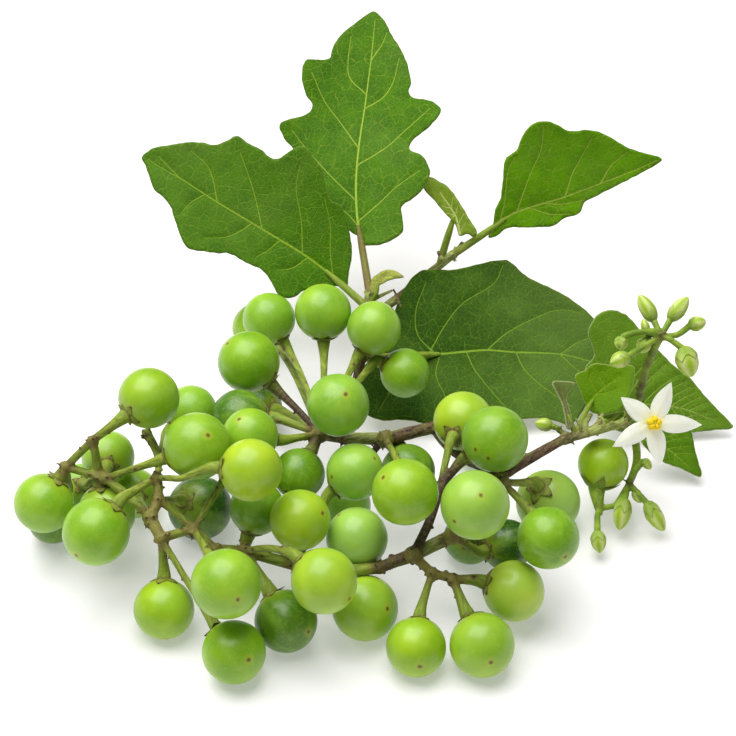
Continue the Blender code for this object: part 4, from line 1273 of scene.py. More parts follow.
# %% Leaf outlines
# Leaves: the outline and midrib as picture points, three picture points with heights that the
# blade's plane goes through, how far the halves fold up and the edge waves (in millimetres),
# and the stalk from the blade to its hub. A stop without a height lies on the blade.
LEAVES = {
    "leaf_left": {
        "outline": [
            (346, 287), (334, 286), (318, 288), (303, 291), (295, 297), (285, 298), (278, 294),
            (272, 283), (263, 271), (245, 262), (230, 254), (215, 253), (200, 251), (188, 248),
            (181, 237), (174, 217), (171, 207), (163, 197), (154, 189), (149, 175), (145, 165),
            (142, 157), (147, 152), (154, 148), (165, 146), (190, 142), (205, 143), (216, 145),
            (228, 140), (238, 136), (250, 144), (262, 150), (271, 158), (280, 158), (290, 151),
            (304, 146), (314, 158), (322, 170), (326, 188), (331, 200), (342, 207), (349, 230),
            (352, 252), (349, 272),
        ],
        "midrib": [(346, 287), (330, 274), (303, 254), (262, 229), (217, 202), (180, 178)],
        "plane": [(345, 287, 24), (142, 157, 42), (304, 146, 47)],
        "fold": 2.0, "wave": 1.2,
        "stalk": [(325, 270), (345, 286), (356, 298, 24.5), "left_node"],
    },
    "leaf_upright": {
        "outline": [
            (362, 244), (378, 245), (392, 240), (403, 231), (402, 217), (402, 206), (412, 199),
            (422, 190), (430, 174), (427, 163), (421, 155), (411, 151), (410, 144), (419, 135),
            (430, 126), (441, 112), (436, 104), (426, 100), (413, 98), (409, 91), (411, 80),
            (407, 63), (400, 48), (391, 34), (385, 22), (375, 12), (367, 15), (352, 26),
            (340, 36), (333, 48), (330, 58), (322, 60), (306, 61), (302, 77), (306, 95),
            (312, 104), (311, 111), (303, 116), (281, 123), (282, 134), (292, 148), (302, 158),
            (312, 172), (320, 190), (330, 205), (340, 220), (351, 232), (358, 236),
        ],
        "midrib": [(362, 244), (357, 215), (356, 180), (359, 145), (365, 105), (371, 60)],
        "plane": [(362, 243, 30), (375, 12, 58), (281, 123, 43)],
        "fold": 2.5, "wave": 1.5,
        "stalk": [(358, 225), (362, 243), (365, 262, 28), "leaf_fork"],
    },
    "leaf_right": {
        "outline": [
            (489, 238), (493, 226), (495, 211), (501, 197), (503, 178), (505, 160), (510, 155),
            (517, 150), (521, 139), (527, 129), (535, 123), (546, 121), (558, 125), (570, 131),
            (588, 130), (605, 134), (625, 146), (640, 152), (662, 159), (645, 171), (620, 184),
            (598, 195), (585, 202), (579, 213), (563, 219), (552, 226), (530, 227), (508, 228),
            (498, 235),
        ],
        "midrib": [(489, 236), (500, 222), (515, 213), (538, 205), (565, 197), (610, 180)],
        "plane": [(490, 236, 27), (662, 159, 40), (545, 121, 50)],
        "fold": 2.0, "wave": 1.0,
        "stalk": [(506, 218), (490, 234), (470, 245, 25), "right_shoot"],
    },
    "leaf_young": {
        "outline": [
            (459, 235), (455, 224), (444, 212), (432, 198), (423, 187), (428, 177), (440, 182),
            (450, 189), (458, 200), (465, 212), (471, 222), (477, 231), (474, 237), (467, 234),
        ],
        "midrib": [(460, 234), (455, 215), (440, 192)],
        "plane": [(460, 234, 28), (424, 181, 36), (471, 215, 31)],
        "fold": 2.0, "wave": 0.3,
        "stalk": [(454, 216), (457, 233), (448, 248, 26), "young_node"],
    },
    "leaf_broad": {
        "outline": [
            (374, 352), (384, 338), (391, 322), (396, 308), (403, 291), (412, 278), (422, 271),
            (437, 270), (455, 270), (480, 264), (502, 260), (510, 262), (521, 272), (532, 280),
            (550, 288), (565, 296), (580, 306), (593, 318), (604, 335), (610, 358), (603, 382),
            (590, 400), (572, 424), (556, 421), (540, 418), (515, 420), (490, 424), (460, 425),
            (430, 424), (405, 420), (380, 420), (362, 410), (357, 390), (364, 368),
        ],
        "midrib": [(428, 355), (460, 352), (487, 350), (515, 352), (560, 354), (590, 361)],
        "plane": [(428, 354, 10.5), (610, 362, 9.5), (502, 259, 21)],
        "fold": 1.6, "wave": 0.9,
        "stalk": [(440, 354), (425, 355), (395, 357, 14), "shoot_node"],
    },
    "leaf_far_right": {
        "outline": [
            (603, 421), (592, 404), (586, 385), (585, 368), (594, 355), (588, 335), (592, 322),
            (600, 313), (612, 310), (626, 315), (640, 330), (655, 346), (672, 364), (690, 378),
            (705, 396), (719, 411), (733, 427), (715, 430), (697, 432), (675, 434), (650, 432),
            (625, 430),
        ],
        "midrib": [(603, 421), (640, 405), (680, 408), (715, 421)],
        "plane": [(595, 350, 16), (733, 427, 3), (612, 310, 22)],
        "fold": 0.8, "wave": 0.5,
        "stalk": [(620, 412), (606, 420), (597, 428, 12), "far_node"],
    },
    "leaf_corner": {
        "outline": [
            (640, 437), (655, 428), (672, 424), (688, 425), (693, 440), (697, 458), (701, 477),
            (682, 469), (664, 462), (650, 452),
        ],
        "midrib": [(641, 438), (665, 447), (688, 466)],
        "plane": [(640, 437, 8), (701, 477, 2.5), (688, 425, 8.5)],
        "fold": 0.5, "wave": 0.2,
        "stalk": [(654, 440), (643, 437), (628, 433, 12), "spray_node"],
    },
    "leaf_underside": {
        "outline": [
            (600, 415), (590, 411), (584, 402), (580, 390), (575, 376), (584, 371), (594, 364),
            (612, 365), (633, 366), (634, 380), (630, 394), (621, 410), (610, 414),
        ],
        "midrib": [(586, 407), (598, 393), (620, 376)],
        "plane": [(575, 376, 15.5), (632, 365, 18.5), (600, 412, 11.5)],
        "fold": 0.6, "wave": 0.3,
        "stalk": [(593, 400), (586, 408), (578, 423, 17), "dry_node"],
    },
    "leaf_dry": {
        "outline": [
            (567, 428), (564, 412), (560, 400), (552, 384), (558, 381), (575, 383), (571, 389),
            (567, 398), (570, 410), (572, 420), (572, 428),
        ],
        "midrib": [(569, 427), (567, 410), (562, 392)],
        "plane": [(569, 428, 22), (552, 382, 28), (575, 383, 27)],
        "fold": 0.4, "wave": 0.0,
        "stalk": [(568, 414), (570, 426), "dry_node"],
    },
    "leaf_sprout": {
        "outline": [
            (371, 293), (370, 285), (374, 277), (383, 271), (393, 270), (404, 277), (394, 279),
            (385, 282), (378, 287), (375, 293),
        ],
        "midrib": [(373, 291), (376, 281), (388, 275)],
        "plane": [(373, 291, 26.5), (404, 277, 30), (383, 271, 30)],
        "fold": 0.4, "wave": 0.0,
        "stalk": [(378, 282), (378, 294, 26), "left_node"],
    },
}
print(len(LEAVES), "leaves")

# %% Veins
# Side veins as picture points. Leaves that aren't named here get theirs by a rule.
VEINS = {
    "leaf_left": [
        [(332, 277), (330, 250), (330, 225), (324, 196)],
        [(303, 253), (301, 220), (296, 188), (300, 165)],
        [(262, 229), (257, 205), (251, 183), (240, 152)],
        [(217, 202), (213, 180), (206, 164), (190, 150)],
        [(308, 257), (292, 268), (276, 270)], [(252, 223), (240, 231), (225, 237), (204, 238)],
        [(205, 194), (190, 203), (181, 213)], [(180, 178), (168, 166), (158, 156)],
        [(180, 178), (162, 168), (148, 159)], [(280, 240), (268, 250), (256, 257)],
    ],
    "leaf_upright": [
        [(355, 200), (330, 175), (305, 147), (292, 130)],
        [(357, 148), (340, 122), (324, 100), (312, 72)],
        [(364, 94), (350, 78), (348, 60), (351, 36)],
        [(360, 221), (380, 202), (397, 186), (420, 170)],
        [(360, 166), (385, 148), (400, 135), (430, 108)],
        [(366, 108), (382, 98), (393, 82), (399, 58)],
        [(371, 60), (373, 40), (375, 20)], [(371, 58), (382, 44), (387, 32)],
        [(359, 226), (348, 214), (340, 208)],
    ],
    "leaf_right": [
        [(516, 210), (530, 175), (541, 150), (544, 126)],
        [(564, 196), (572, 175), (580, 160), (592, 138)],
        [(530, 208), (550, 214), (572, 214)], [(500, 222), (505, 200), (508, 172), (516, 156)],
        [(610, 180), (640, 168), (658, 160)], [(600, 184), (612, 165), (628, 152)],
        [(545, 203), (562, 204), (584, 200)],
    ],
    "leaf_broad": [
        [(428, 353), (445, 325), (463, 303), (493, 284), (503, 265)],
        [(487, 350), (505, 334), (526, 322), (556, 310), (580, 312)],
        [(436, 353), (418, 335), (416, 310), (426, 282)],
        [(466, 351), (475, 370), (495, 395), (512, 414)],
        [(516, 353), (525, 370), (545, 388), (572, 406)], [(560, 354), (578, 342), (596, 336)],
        [(590, 361), (600, 364), (607, 368)], [(560, 355), (575, 368), (592, 380)],
        [(440, 354), (436, 375), (446, 398), (450, 418)],
        [(430, 356), (408, 370), (390, 392), (378, 412)],
    ],
    "leaf_underside": [
        [(598, 393), (592, 384), (590, 374)], [(605, 386), (600, 378), (600, 370)],
        [(598, 393), (608, 392), (618, 388)],
    ],
}
print(sum(len(v) for v in VEINS.values()), "side veins read from the picture")

# %% A leaf's curved surface
class Sheet:
    """A leaf's curved surface: it lifts picture points onto the leaf."""

    def __init__(self, leaf):
        foot, tip, side = [spot(*corner) for corner in leaf["plane"]]
        self.normal = (tip - foot).cross(side - foot).normalized()
        if self.normal.dot(FORWARD) > 0:
            self.normal = -self.normal
        self.foot = foot
        ribs = [self.on_plane(*point) for point in leaf["midrib"]]
        self.start = ribs[0]
        self.along = (ribs[-1] - ribs[0]).normalized()
        self.across = self.normal.cross(self.along)
        self.ribs = [((rib - self.start).dot(self.along), (rib - self.start).dot(self.across))
                     for rib in ribs]
        self.fold = leaf["fold"] * MM
        self.wave = leaf["wave"] * MM
        edge = [self.on_plane(*point) for point in leaf["outline"]]
        self.length = max((p - self.start).dot(self.along) for p in edge)
        self.half_width = max(abs((p - self.start).dot(self.across)) for p in edge)

    def on_plane(self, px, py):
        """The place on the leaf's flat plane that a picture point shows."""
        ray = sight(px, py)
        return EYE + ray * ((self.foot - EYE).dot(self.normal) / ray.dot(self.normal))

    def rib_at(self, u):
        """How far across the midrib runs at this distance along the leaf."""
        for (u0, v0), (u1, v1) in zip(self.ribs, self.ribs[1:]):
            if u <= u1:
                return v0 + (v1 - v0) * max(0, u - u0) / (u1 - u0)
        return self.ribs[-1][1]

    def lift(self, point):
        """The place on the curved leaf that a picture point shows."""
        flat = self.on_plane(*point)
        u = (flat - self.start).dot(self.along)
        v = ((flat - self.start).dot(self.across) - self.rib_at(u)) / self.half_width
        rise = self.fold * (abs(v) ** 1.5 - (u / self.length) ** 2)
        rise += self.wave * math.sin(7.5 * u / self.length + 2.5 * v) * abs(v)
        ray = sight(*point)
        return flat + ray * (rise / ray.dot(self.normal))


print("a sheet lifts picture points")

# %% Side veins by rule
VEIN_ANGLE = math.radians(48)


def is_inside(point, outline):
    """Whether a flat point lies inside an outline."""
    inside = False
    for a, b in zip(outline, outline[1:] + outline[:1]):
        if (a.y > point.y) != (b.y > point.y):
            if point.x < a.x + (b.x - a.x) * (point.y - a.y) / (b.y - a.y):
                inside = not inside
    return inside


def ruled_veins(leaf, outline):
    """Side veins that leave the midrib in pairs, for a leaf with none read."""
    line = curve_through(leaf["midrib"], 3)
    veins = []
    count = max(2, len(line) // 4)
    for i in range(count):
        at = int((0.12 + 0.75 * i / count) * (len(line) - 1))
        ahead = (line[min(at + 1, len(line) - 1)] - line[at]).normalized()
        for turn in (VEIN_ANGLE, -VEIN_ANGLE):
            spread = Matrix.Rotation(turn, 2) @ ahead
            vein = [line[at].copy()]
            while is_inside(vein[-1] + spread * 5, outline) and len(vein) < 30:
                vein.append(vein[-1] + spread * 3)
                spread = (spread * 0.95 + ahead * 0.05).normalized()
            if len(vein) > 2:
                veins.append(vein)
    return veins


print("veins can be ruled")

# %% Triangles that follow the veins
# In picture points: steps along the edge and between the points inside.
FINE_EDGE = 2.2
FINE_GRID = 3.0
# How far points inside stay from a vein.
VEIN_ROOM = 1.4


def tree_of(lines):
    """A search tree of the lines' points, and each point's share of the way along its line."""
    shares = [i / (len(line) - 1) for line in lines for i in range(len(line))]
    return search_tree([point.to_3d() for line in lines for point in line]), shares


def nearest(trees, point):
    """How far a flat point is from the nearest vein."""
    return min(tree.find(point.to_3d())[2] for tree, _ in trees)


def vein_corners(flat, faces, trees):
    """The middles of triangles whose corners all lie on veins, so that none is filled."""
    middles = []
    for face in faces:
        corners = [flat[i] for i in face]
        middle = sum(corners, Vector((0, 0))) / 3
        if max(nearest(trees, p) for p in corners) < 0.1 and nearest(trees, middle) > 0.25:
            middles.append(middle)
    return middles


def fine_grid(edge):
    """Staggered points inside an outline, worked out together."""
    (left, low), (right, high) = edge.min(axis=0), edge.max(axis=0)
    rows = np.arange(low, high, FINE_GRID * 0.87)
    x, y = np.meshgrid(np.arange(left, right, FINE_GRID), rows)
    x = x + (np.arange(len(rows)) % 2)[:, None] * FINE_GRID / 2
    x, y = x.ravel(), y.ravel()
    inside = np.zeros(len(x), dtype=bool)
    clear = np.ones(len(x), dtype=bool)
    for (ax, ay), (bx, by) in zip(edge, np.roll(edge, -1, axis=0)):
        slope = (bx - ax) / (by - ay) if by != ay else 0
        inside ^= ((ay > y) != (by > y)) & (x < ax + slope * (y - ay))
        clear &= np.hypot(x - ax, y - ay) > FINE_GRID * 0.5
    keep = inside & clear
    return [Vector((float(a), float(b))) for a, b in zip(x[keep], y[keep])]


def leaf_mesh(name, leaf):
    """The blade as a closed mesh with what its finish needs on each point."""
    sheet = Sheet(leaf)
    outline = curve_through(leaf["outline"], FINE_EDGE, closed=True)
    outline = [p + Vector((noise.noise((p.x * 0.16, p.y * 0.16, 3)),
                           noise.noise((p.x * 0.16, p.y * 0.16, 9)))) * 0.7 for p in outline]
    rib = curve_through(leaf["midrib"], 1)
    sides = []
    for vein in VEINS[name] if name in VEINS else ruled_veins(leaf, outline):
        points = [Vector(p) for p in vein]
        points[0] = min(rib, key=lambda p: (p - points[0]).length)
        sides.append(curve_through(points, 1))
    trees = [tree_of([rib]), tree_of(sides or [rib])]
    flat = list(outline)
    joins = []
    for line in [rib] + sides:
        kept = [p for p in line if is_inside(p, outline)]
        joins += [(len(flat) + i, len(flat) + i + 1) for i in range(len(kept) - 1)]
        flat += kept
    grid = fine_grid(np.array([p[:] for p in outline]))
    flat += [p for p in grid if nearest(trees, p) > VEIN_ROOM]
    loop = list(range(len(outline)))
    first, _, faces, _, _, _ = delaunay_2d_cdt(flat, joins, [loop], 1, 1e-4)
    flat += vein_corners(first, faces, trees)
    flat, _, faces, _, _, _ = delaunay_2d_cdt(flat, joins, [loop], 1, 1e-4)
    return thicken(name, sheet, flat, faces, trees, tree_of([outline + outline[:1]])[0])


print("triangles follow the veins")

# %% Two faces and a rim
BLADE_THICKNESS = 0.34
QUILT = 0.35
# How wide a vein is at its foot and at its tip, in picture points.
RIB_WIDTHS = (1.15, 0.4)
SIDE_WIDTHS = (0.62, 0.28)
# From here on, a distance makes no difference to the finish.
FAR = 9


def thicken(name, sheet, flat, faces, trees, edge_tree):
    """Lift flat points onto the leaf and give the sheet two faces and a rim."""
    count = len(flat)
    down = sheet.normal * BLADE_THICKNESS * MM
    tops, unders = [], []
    layers = defaultdict(list)
    for point in flat:
        away = []
        for (tree, shares), (foot, tip) in zip(trees, (RIB_WIDTHS, SIDE_WIDTHS)):
            _, i, distance = tree.find(point.to_3d())
            away.append(distance / (foot + (tip - foot) * shares[i]))
        large = min(away[0] * RIB_WIDTHS[0], away[1] * SIDE_WIDTHS[0])
        quilt = QUILT * (1 - math.exp(-large / 5))
        place = sheet.lift(point)
        tops.append(place + sheet.normal * (quilt - 0.12) * MM)
        unders.append(tops[-1] - down * (1 + 0.9 * math.exp(-large / 1.2)))
        layers["to_rib"].append(min(away[0], FAR))
        layers["to_side"].append(min(away[1], FAR))
        layers["to_edge"].append(min(edge_tree.find(point.to_3d())[2], FAR))
        layers["plane"].append(((place - sheet.start).dot(sheet.along) / MM,
                                (place - sheet.start).dot(sheet.across) / MM, 0))
    solid = [list(f) for f in faces]
    edges = {(a, b) for face in faces for a, b in zip(face, face[1:] + face[:1])}
    solid += [[v + count for v in reversed(face)] for face in faces]
    solid += [[b, a, a + count, b + count] for a, b in edges if (b, a) not in edges]
    mesh = bpy.data.meshes.new(name)
    mesh.from_pydata([keep_in(place) for place in tops + unders], [], solid)
    body = bmesh.new()
    body.from_mesh(mesh)
    layers = {key: values * 2 for key, values in layers.items()}
    return fill(mesh, body, layers | {"under": [0] * count + [1] * count})


print("a blade is", BLADE_THICKNESS, "mm thick")

# %% [markdown]
# ## The green of the leaves
# A blade is dark on top and greyer below, with pale veins, a net of thinner ones and a thin
# pale rim. A painted picture would blur close up, so the finish mixes its colours from each
# point's distance to the veins and to the rim, and from noise laid flat on the blade.

# %% Leaf finish
UNDER_GREEN = srgb(140, 160, 92)
# How far along the blade it turns paler towards its tip, a painted sheen, in millimetres.
PALER_START, PALER_END = 2, 42


def vein_net(base, place, cell, width):
    """Thin lines between cells of about this size, in millimetres."""
    sway = base.node("ShaderNodeTexNoise", {}, {"Vector": place, "Scale": 1.3 / cell,
                                                "Detail": 2}, output="Color")
    bent = base.vector("MULTIPLY_ADD", {0: sway, 1: (cell * 0.6, cell * 0.6, cell * 0.6),
                                        2: place})
    away = base.node("ShaderNodeTexVoronoi",
                     {"feature": "DISTANCE_TO_EDGE", "voronoi_dimensions": "2D"},
                     {"Vector": bent, "Scale": 1 / cell}, output="Distance")
    return (away * cell).step(width, 0)


def leaf_finish(name, dark, light, vein, rim, rim_width=0.5, under=UNDER_GREEN, paler=0):
    """A leaf's finish from its greens and from the colours of its veins, rim and underside."""
    finish, base = new_finish(name, Specular_IOR_Level=0.08, Subsurface_Weight=0.05,
                              Subsurface_Scale=0.0006)
    plane = base.attribute("plane", "Vector")
    main_vein = base.attribute("to_rib").step(1.4, 0.7)
    side_vein = base.attribute("to_side").step(1.6, 0.6)
    shown = base.noise(plane, 0.35, 2).step(0.3, 0.6)
    ladder = vein_net(base, plane, 2.9, 0.17) * shown
    net = vein_net(base, plane, 1.05, 0.13)
    clouds = base.noise(plane, 0.16, 3, 0.6)
    # Greyish patches: partly a bloom of fine hairs, partly a painted sheen.
    dust_and_sheen = base.noise(plane, 0.06, 3, 0.6).step(0.44, 0.7)
    grain = base.noise(plane, 4.5, 3, 0.7)
    green = (clouds.step(0.25, 0.75) * 0.6 + grain * 0.5 - 0.05).clip().blend(dark, light)
    green = (dust_and_sheen * (grain * 0.5 + 0.05)).clip().blend(green, srgb(96, 132, 46))
    # Paler and greyer towards the tip: a painted sheen.
    if paler:
        along = base.node("ShaderNodeSeparateXYZ", {}, {0: plane})
        green = (along.step(PALER_START, PALER_END) * paler).blend(green, srgb(122, 152, 70))
    green = (net * 0.2).blend(green, vein)
    green = (ladder * 0.3).blend(green, vein)
    pale = (net * 0.3 + ladder * 0.3 + grain * 0.2).clip().blend(under, srgb(186, 200, 140))
    colour = base.attribute("under").blend(green, pale)
    colour = (side_vein * 0.75).blend(colour, vein)
    colour = (main_vein * 0.95).blend(colour, vein)
    edge = base.attribute("to_edge").step(1.5 * rim_width, 0.4 * rim_width)
    colour = (edge * 0.65).blend(colour, rim)
    colour.feed("Base Color")
    (grain * 0.15 + 0.48).feed("Roughness")
    (0.7 - side_vein * 0.3 - ladder * 0.25 - net * 0.2 + grain * 0.15).bump(0.25)
    return finish


# Each leaf's dark and light green, veins and rim, and what else sets it apart, such as a painted
# sheen towards its tip.
LEAF_COLOURS = {
    "leaf_left": ((42, 88, 0), (74, 122, 2), (140, 170, 48), (120, 134, 60), {"paler": 0.14}),
    "leaf_upright": ((38, 84, 0), (74, 122, 0), (156, 182, 66), (120, 134, 60), {}),
    "leaf_right": ((78, 132, 0), (110, 168, 0), (170, 192, 76), (120, 134, 60), {}),
    "leaf_young": ((98, 126, 20), (124, 150, 38), (176, 188, 106), (110, 104, 62), {}),
    "leaf_broad": ((26, 62, 0), (52, 88, 4), (126, 158, 48), (120, 134, 60), {"paler": 0.36}),
    "leaf_far_right": ((76, 112, 16), (104, 144, 30), (140, 166, 66), (168, 180, 130),
                       {"rim_width": 0.7}),
    "leaf_corner": ((66, 106, 2), (88, 132, 14), (118, 150, 40), (170, 180, 120), {}),
    "leaf_underside": ((76, 116, 0), (98, 136, 0), (114, 146, 20), (160, 168, 104),
                       {"rim_width": 0.8}),
    "leaf_dry": ((72, 92, 32), (98, 116, 52), (128, 116, 80), (166, 174, 122),
                 {"rim_width": 1.1, "under": srgb(112, 132, 66)}),
    "leaf_sprout": ((146, 156, 58), (178, 184, 92), (150, 150, 84), (140, 130, 84), {}),
}
leaf_finishes = {name: leaf_finish(name + "_green", *(srgb(*colour) for colour in colours), **own)
                 for name, (*colours, own) in LEAF_COLOURS.items()}
print(len(leaf_finishes), "leaf finishes")

# %% Build the leaves
LEAF_STALK_RADIUS = 0.95
SMALL_LEAVES = ("leaf_underside", "leaf_dry", "leaf_sprout", "leaf_corner")
SMALL_GIRTH = 0.7
# How brown a leaf's stalk is all along.
BARK_SHARES = {"leaf_upright": 0.6}


def leaf_piece(name):
    """The blade of a leaf."""
    piece = new_object(name + "_blade", leaf_mesh(name, LEAVES[name]))
    piece.data.materials.append(leaf_finishes[name])
    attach(piece, "root")
    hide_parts(name)
    return piece


def leaf_stalk_piece(name):
    """The leaf's stalk, which runs out under the blade."""
    sheet = Sheet(LEAVES[name])
    stops = []
    for stop in LEAVES[name]["stalk"]:
        on_blade = not isinstance(stop, str) and len(stop) == 2
        stops.append(sheet.lift(Vector(stop)) if on_blade else stop_place(stop))
    line = stalk_line(stops, LEAF_STALK_RADIUS, obstacles)
    girth = SMALL_GIRTH if name in SMALL_LEAVES else 1
    radii = [0.45] + taper(0.8, LEAF_STALK_RADIUS, len(line) - 1)
    line, radii = fine(line, [r * girth for r in radii])
    body = bmesh.new()
    tube(body, line, radii, sides=14)
    ball(body, line[-1], radii[-1] * 1.1)
    piece = melt(name + "_stalk", body)
    mesh = piece.data
    bark_share = BARK_SHARES.get(name, 0)
    carry(mesh, "brown", [max(0.5 * n, bark_share) for n in nearness(mesh, [(line[-1], 5)])])
    carry(mesh, "fresh", nearness(mesh, [(place, 3) for place in line[:len(line) * 2 // 3]]))
    carry(mesh, "dark", [0] * len(mesh.vertices))
    carry(mesh, "lie", streaks(mesh, [line]))
    mesh.materials.append(stalk_green)
    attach(piece, "root")
    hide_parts(name)
    return piece


for leaf_name in LEAVES:
    blade = leaf_piece(leaf_name)
    leaf_stalk_piece(leaf_name)
    print(blade.name, len(blade.data.polygons), "faces")

# %% [markdown]
# ## Buds and the unripe berry
# A bud is a small pointed bag of folded petals, yellow-green, in a green cup with five teeth.
# The stalks of a spray meet in one fork. The youngest berry sits in a large cup of its own.
# Sculpting each bud would take long. Both the bag and the cup are rings of points round one
# line, and a cosine gives them their five ridges and teeth.

# %% Bud sprays
# Buds: where the calyx starts, the bud's tip, its height there, its greatest radius (mm) and
# its stalk from the spray's own fork.
BUD_SPRAYS = {
    "bud_spray_upper": {
        "fork": (661, 336, 46),
        "stem": ["stem_tip", (637, 402, 26), (646, 368, 37), (653, 351, 42)],
        "radius": 0.9,
        "buds": [
            ((655, 322), (639, 295), 49, 1.6, []),
            ((669, 321), (688, 297), 49, 1.6, []),
            ((688, 326), (706, 321), 46, 1.5, [(677, 335, 46)]),
            ((683, 346), (692, 377), 43, 2.3, [(671, 340, 46)]),
            ((646, 338), (641, 353), 44, 1.5, [(653, 333, 46)]),
            ((622, 336), (620, 350), 45, 1.4, [(648, 332, 47), (634, 333, 47)]),
            ((630, 356), (610, 364), 44, 1.7, [(646, 345, 45)]),
            ((647, 333), (643, 319), 47, 0.9, [(654, 331, 47)]),
        ],
    },
    "bud_spray_lower": {
        "fork": (629, 483, 8),
        "stem": ["stem_tip", (634, 437, 16), (637, 456, 12), (634, 472, 9)],
        "radius": 0.9,
        "buds": [
            ((625, 497), (619, 530), 6, 1.9, [(627, 491, 7)]),
            ((646, 501), (664, 531), 5, 1.8, [(637, 492, 7)]),
            ((634, 489), (641, 503), 6, 1.1, []),
            ((597, 530), (600, 553), 4, 1.6, [(614, 506, 6), (599, 509, 6)]),
            ((643, 459), (651, 469), 12, 1.0, [(633, 474, 10)]),
        ],
    },
    "bud_side": {
        "fork": (559, 429, 21),
        "stem": ["bud_fork"],
        "radius": 0.6,
        "buds": [((553, 426), (535, 423), 21, 1.4, [])],
    },
}
print(sum(len(spray["buds"]) for spray in BUD_SPRAYS.values()), "buds")

# %% Bud finish
def bud_finish():
    """Pale ridged petals in a green cup."""
    finish, base = new_finish("bud_green", Specular_IOR_Level=0.25, Roughness=0.5,
                              Subsurface_Weight=0.12, Subsurface_Scale=0.001)
    place = base.place()
    cup = base.attribute("cup")
    ridge = base.attribute("ridge")
    brown = base.attribute("brown")
    clouds = base.noise(place, 420, 3, 0.6)
    grain = base.noise(place, 2400, 2, 0.6)
    petal = (ridge * 0.9 + clouds * 0.4 - 0.2).clip().blend(srgb(150, 184, 22),
                                                           srgb(214, 224, 142))
    green = clouds.step(0.3, 0.7).blend(srgb(100, 132, 26), srgb(144, 170, 52))
    colour = cup.clip().blend(petal, green)
    colour = (brown * 1.2).clip().blend(colour, srgb(78, 54, 34))
    colour = (grain.step(0.58, 0.7) * 0.25).blend(colour, srgb(206, 214, 150))
    colour.feed("Base Color")
    (grain * 0.6 + clouds * 0.4).bump(0.1)
    return finish


bud_green = bud_finish()
print("bud finish ready")

# %% A bud
BUD_ROWS = 16
BUD_SIDES = 25


def bud_shape(body, foot, tip, radius, layers):
    """A pointed bag with five soft ridges, in a cup with five teeth."""
    turn = aim_at(foot.lerp(tip, 0.5), tip - foot)
    half = (tip - foot).length / 2
    for shell in (0, 1):
        rings = []
        for i in range(BUD_ROWS + 1):
            ring = []
            for k in range(BUD_SIDES):
                angle = math.tau * k / BUD_SIDES
                fold = 0.5 + 0.5 * math.cos(5 * angle)
                reach = 0.34 + 0.15 * fold ** 1.5 if shell else 1
                polar = math.pi * (0.03 + 0.95 * reach * i / BUD_ROWS)
                up = -math.cos(polar)
                width = radius * MM * math.sin(polar) * (1 - 0.3 * max(0, up) ** 2)
                width *= 1.05 if shell else 0.96 + 0.05 * fold
                ring.append(body.verts.new(turn @ around(angle, width, up * half)))
                layers["cup"].append(shell * (1 - 0.65 * i / BUD_ROWS))
                layers["ridge"].append(fold)
                layers["brown"].append(0.4 * fold * (i == BUD_ROWS) * shell)
            rings.append(ring)
        join_rings(body, rings)


print("a bud has", 2 * BUD_SIDES * (BUD_ROWS + 1), "points")

# %% Build the bud sprays
BUD_STALK_RADIUS = 0.55
# The unripe berry's cup, as picture points with heights, and its radii from the berry down.
UNRIPE_CUP = [(597, 490, 7.5), (599, 509, 6), (600, 515, 5.6)]
UNRIPE_CUP_RADII = [2.6, 1.8, 0.9, 0.6]
UNRIPE_SEPAL_REACH = math.radians(54)
# The open flower's middle, and where its stalk starts.
FLOWER_MIDDLE = (653, 423, 28)
FLOWER_NODE = (637, 402, 26)
FLOWER_CUP_RADIUS = 1.6
PETAL_THICKNESS = 0.6
# Brown reaches of the stalks, as picture points with heights, and how far the brown reaches.
BROWN_SPOTS = [((643, 383, 32), 3.2), ((646, 372, 35), 2.8), ((641, 392, 29), 2.6),
               ((650, 360, 39), 2.6), ((654, 349, 42), 2.2),
               ((661, 336, 46), 1.8), ((629, 483, 8), 1.6), ((599, 507, 6), 1.5)]


def flower_stalk():
    """The line and radii of the flower's stalk and cup, which ends a gap behind the petals."""
    middle = spot(*FLOWER_MIDDLE)
    back = FORWARD * (PETAL_THICKNESS / 2 + GAP * 1.3) * MM
    line = curve_through([spot(*FLOWER_NODE), middle + FORWARD * 6 * MM,
                          middle + FORWARD * 2.5 * MM, middle + back], 2 * MM)
    return line, taper(0.6, 0.7, len(line) - 1) + [FLOWER_CUP_RADIUS]


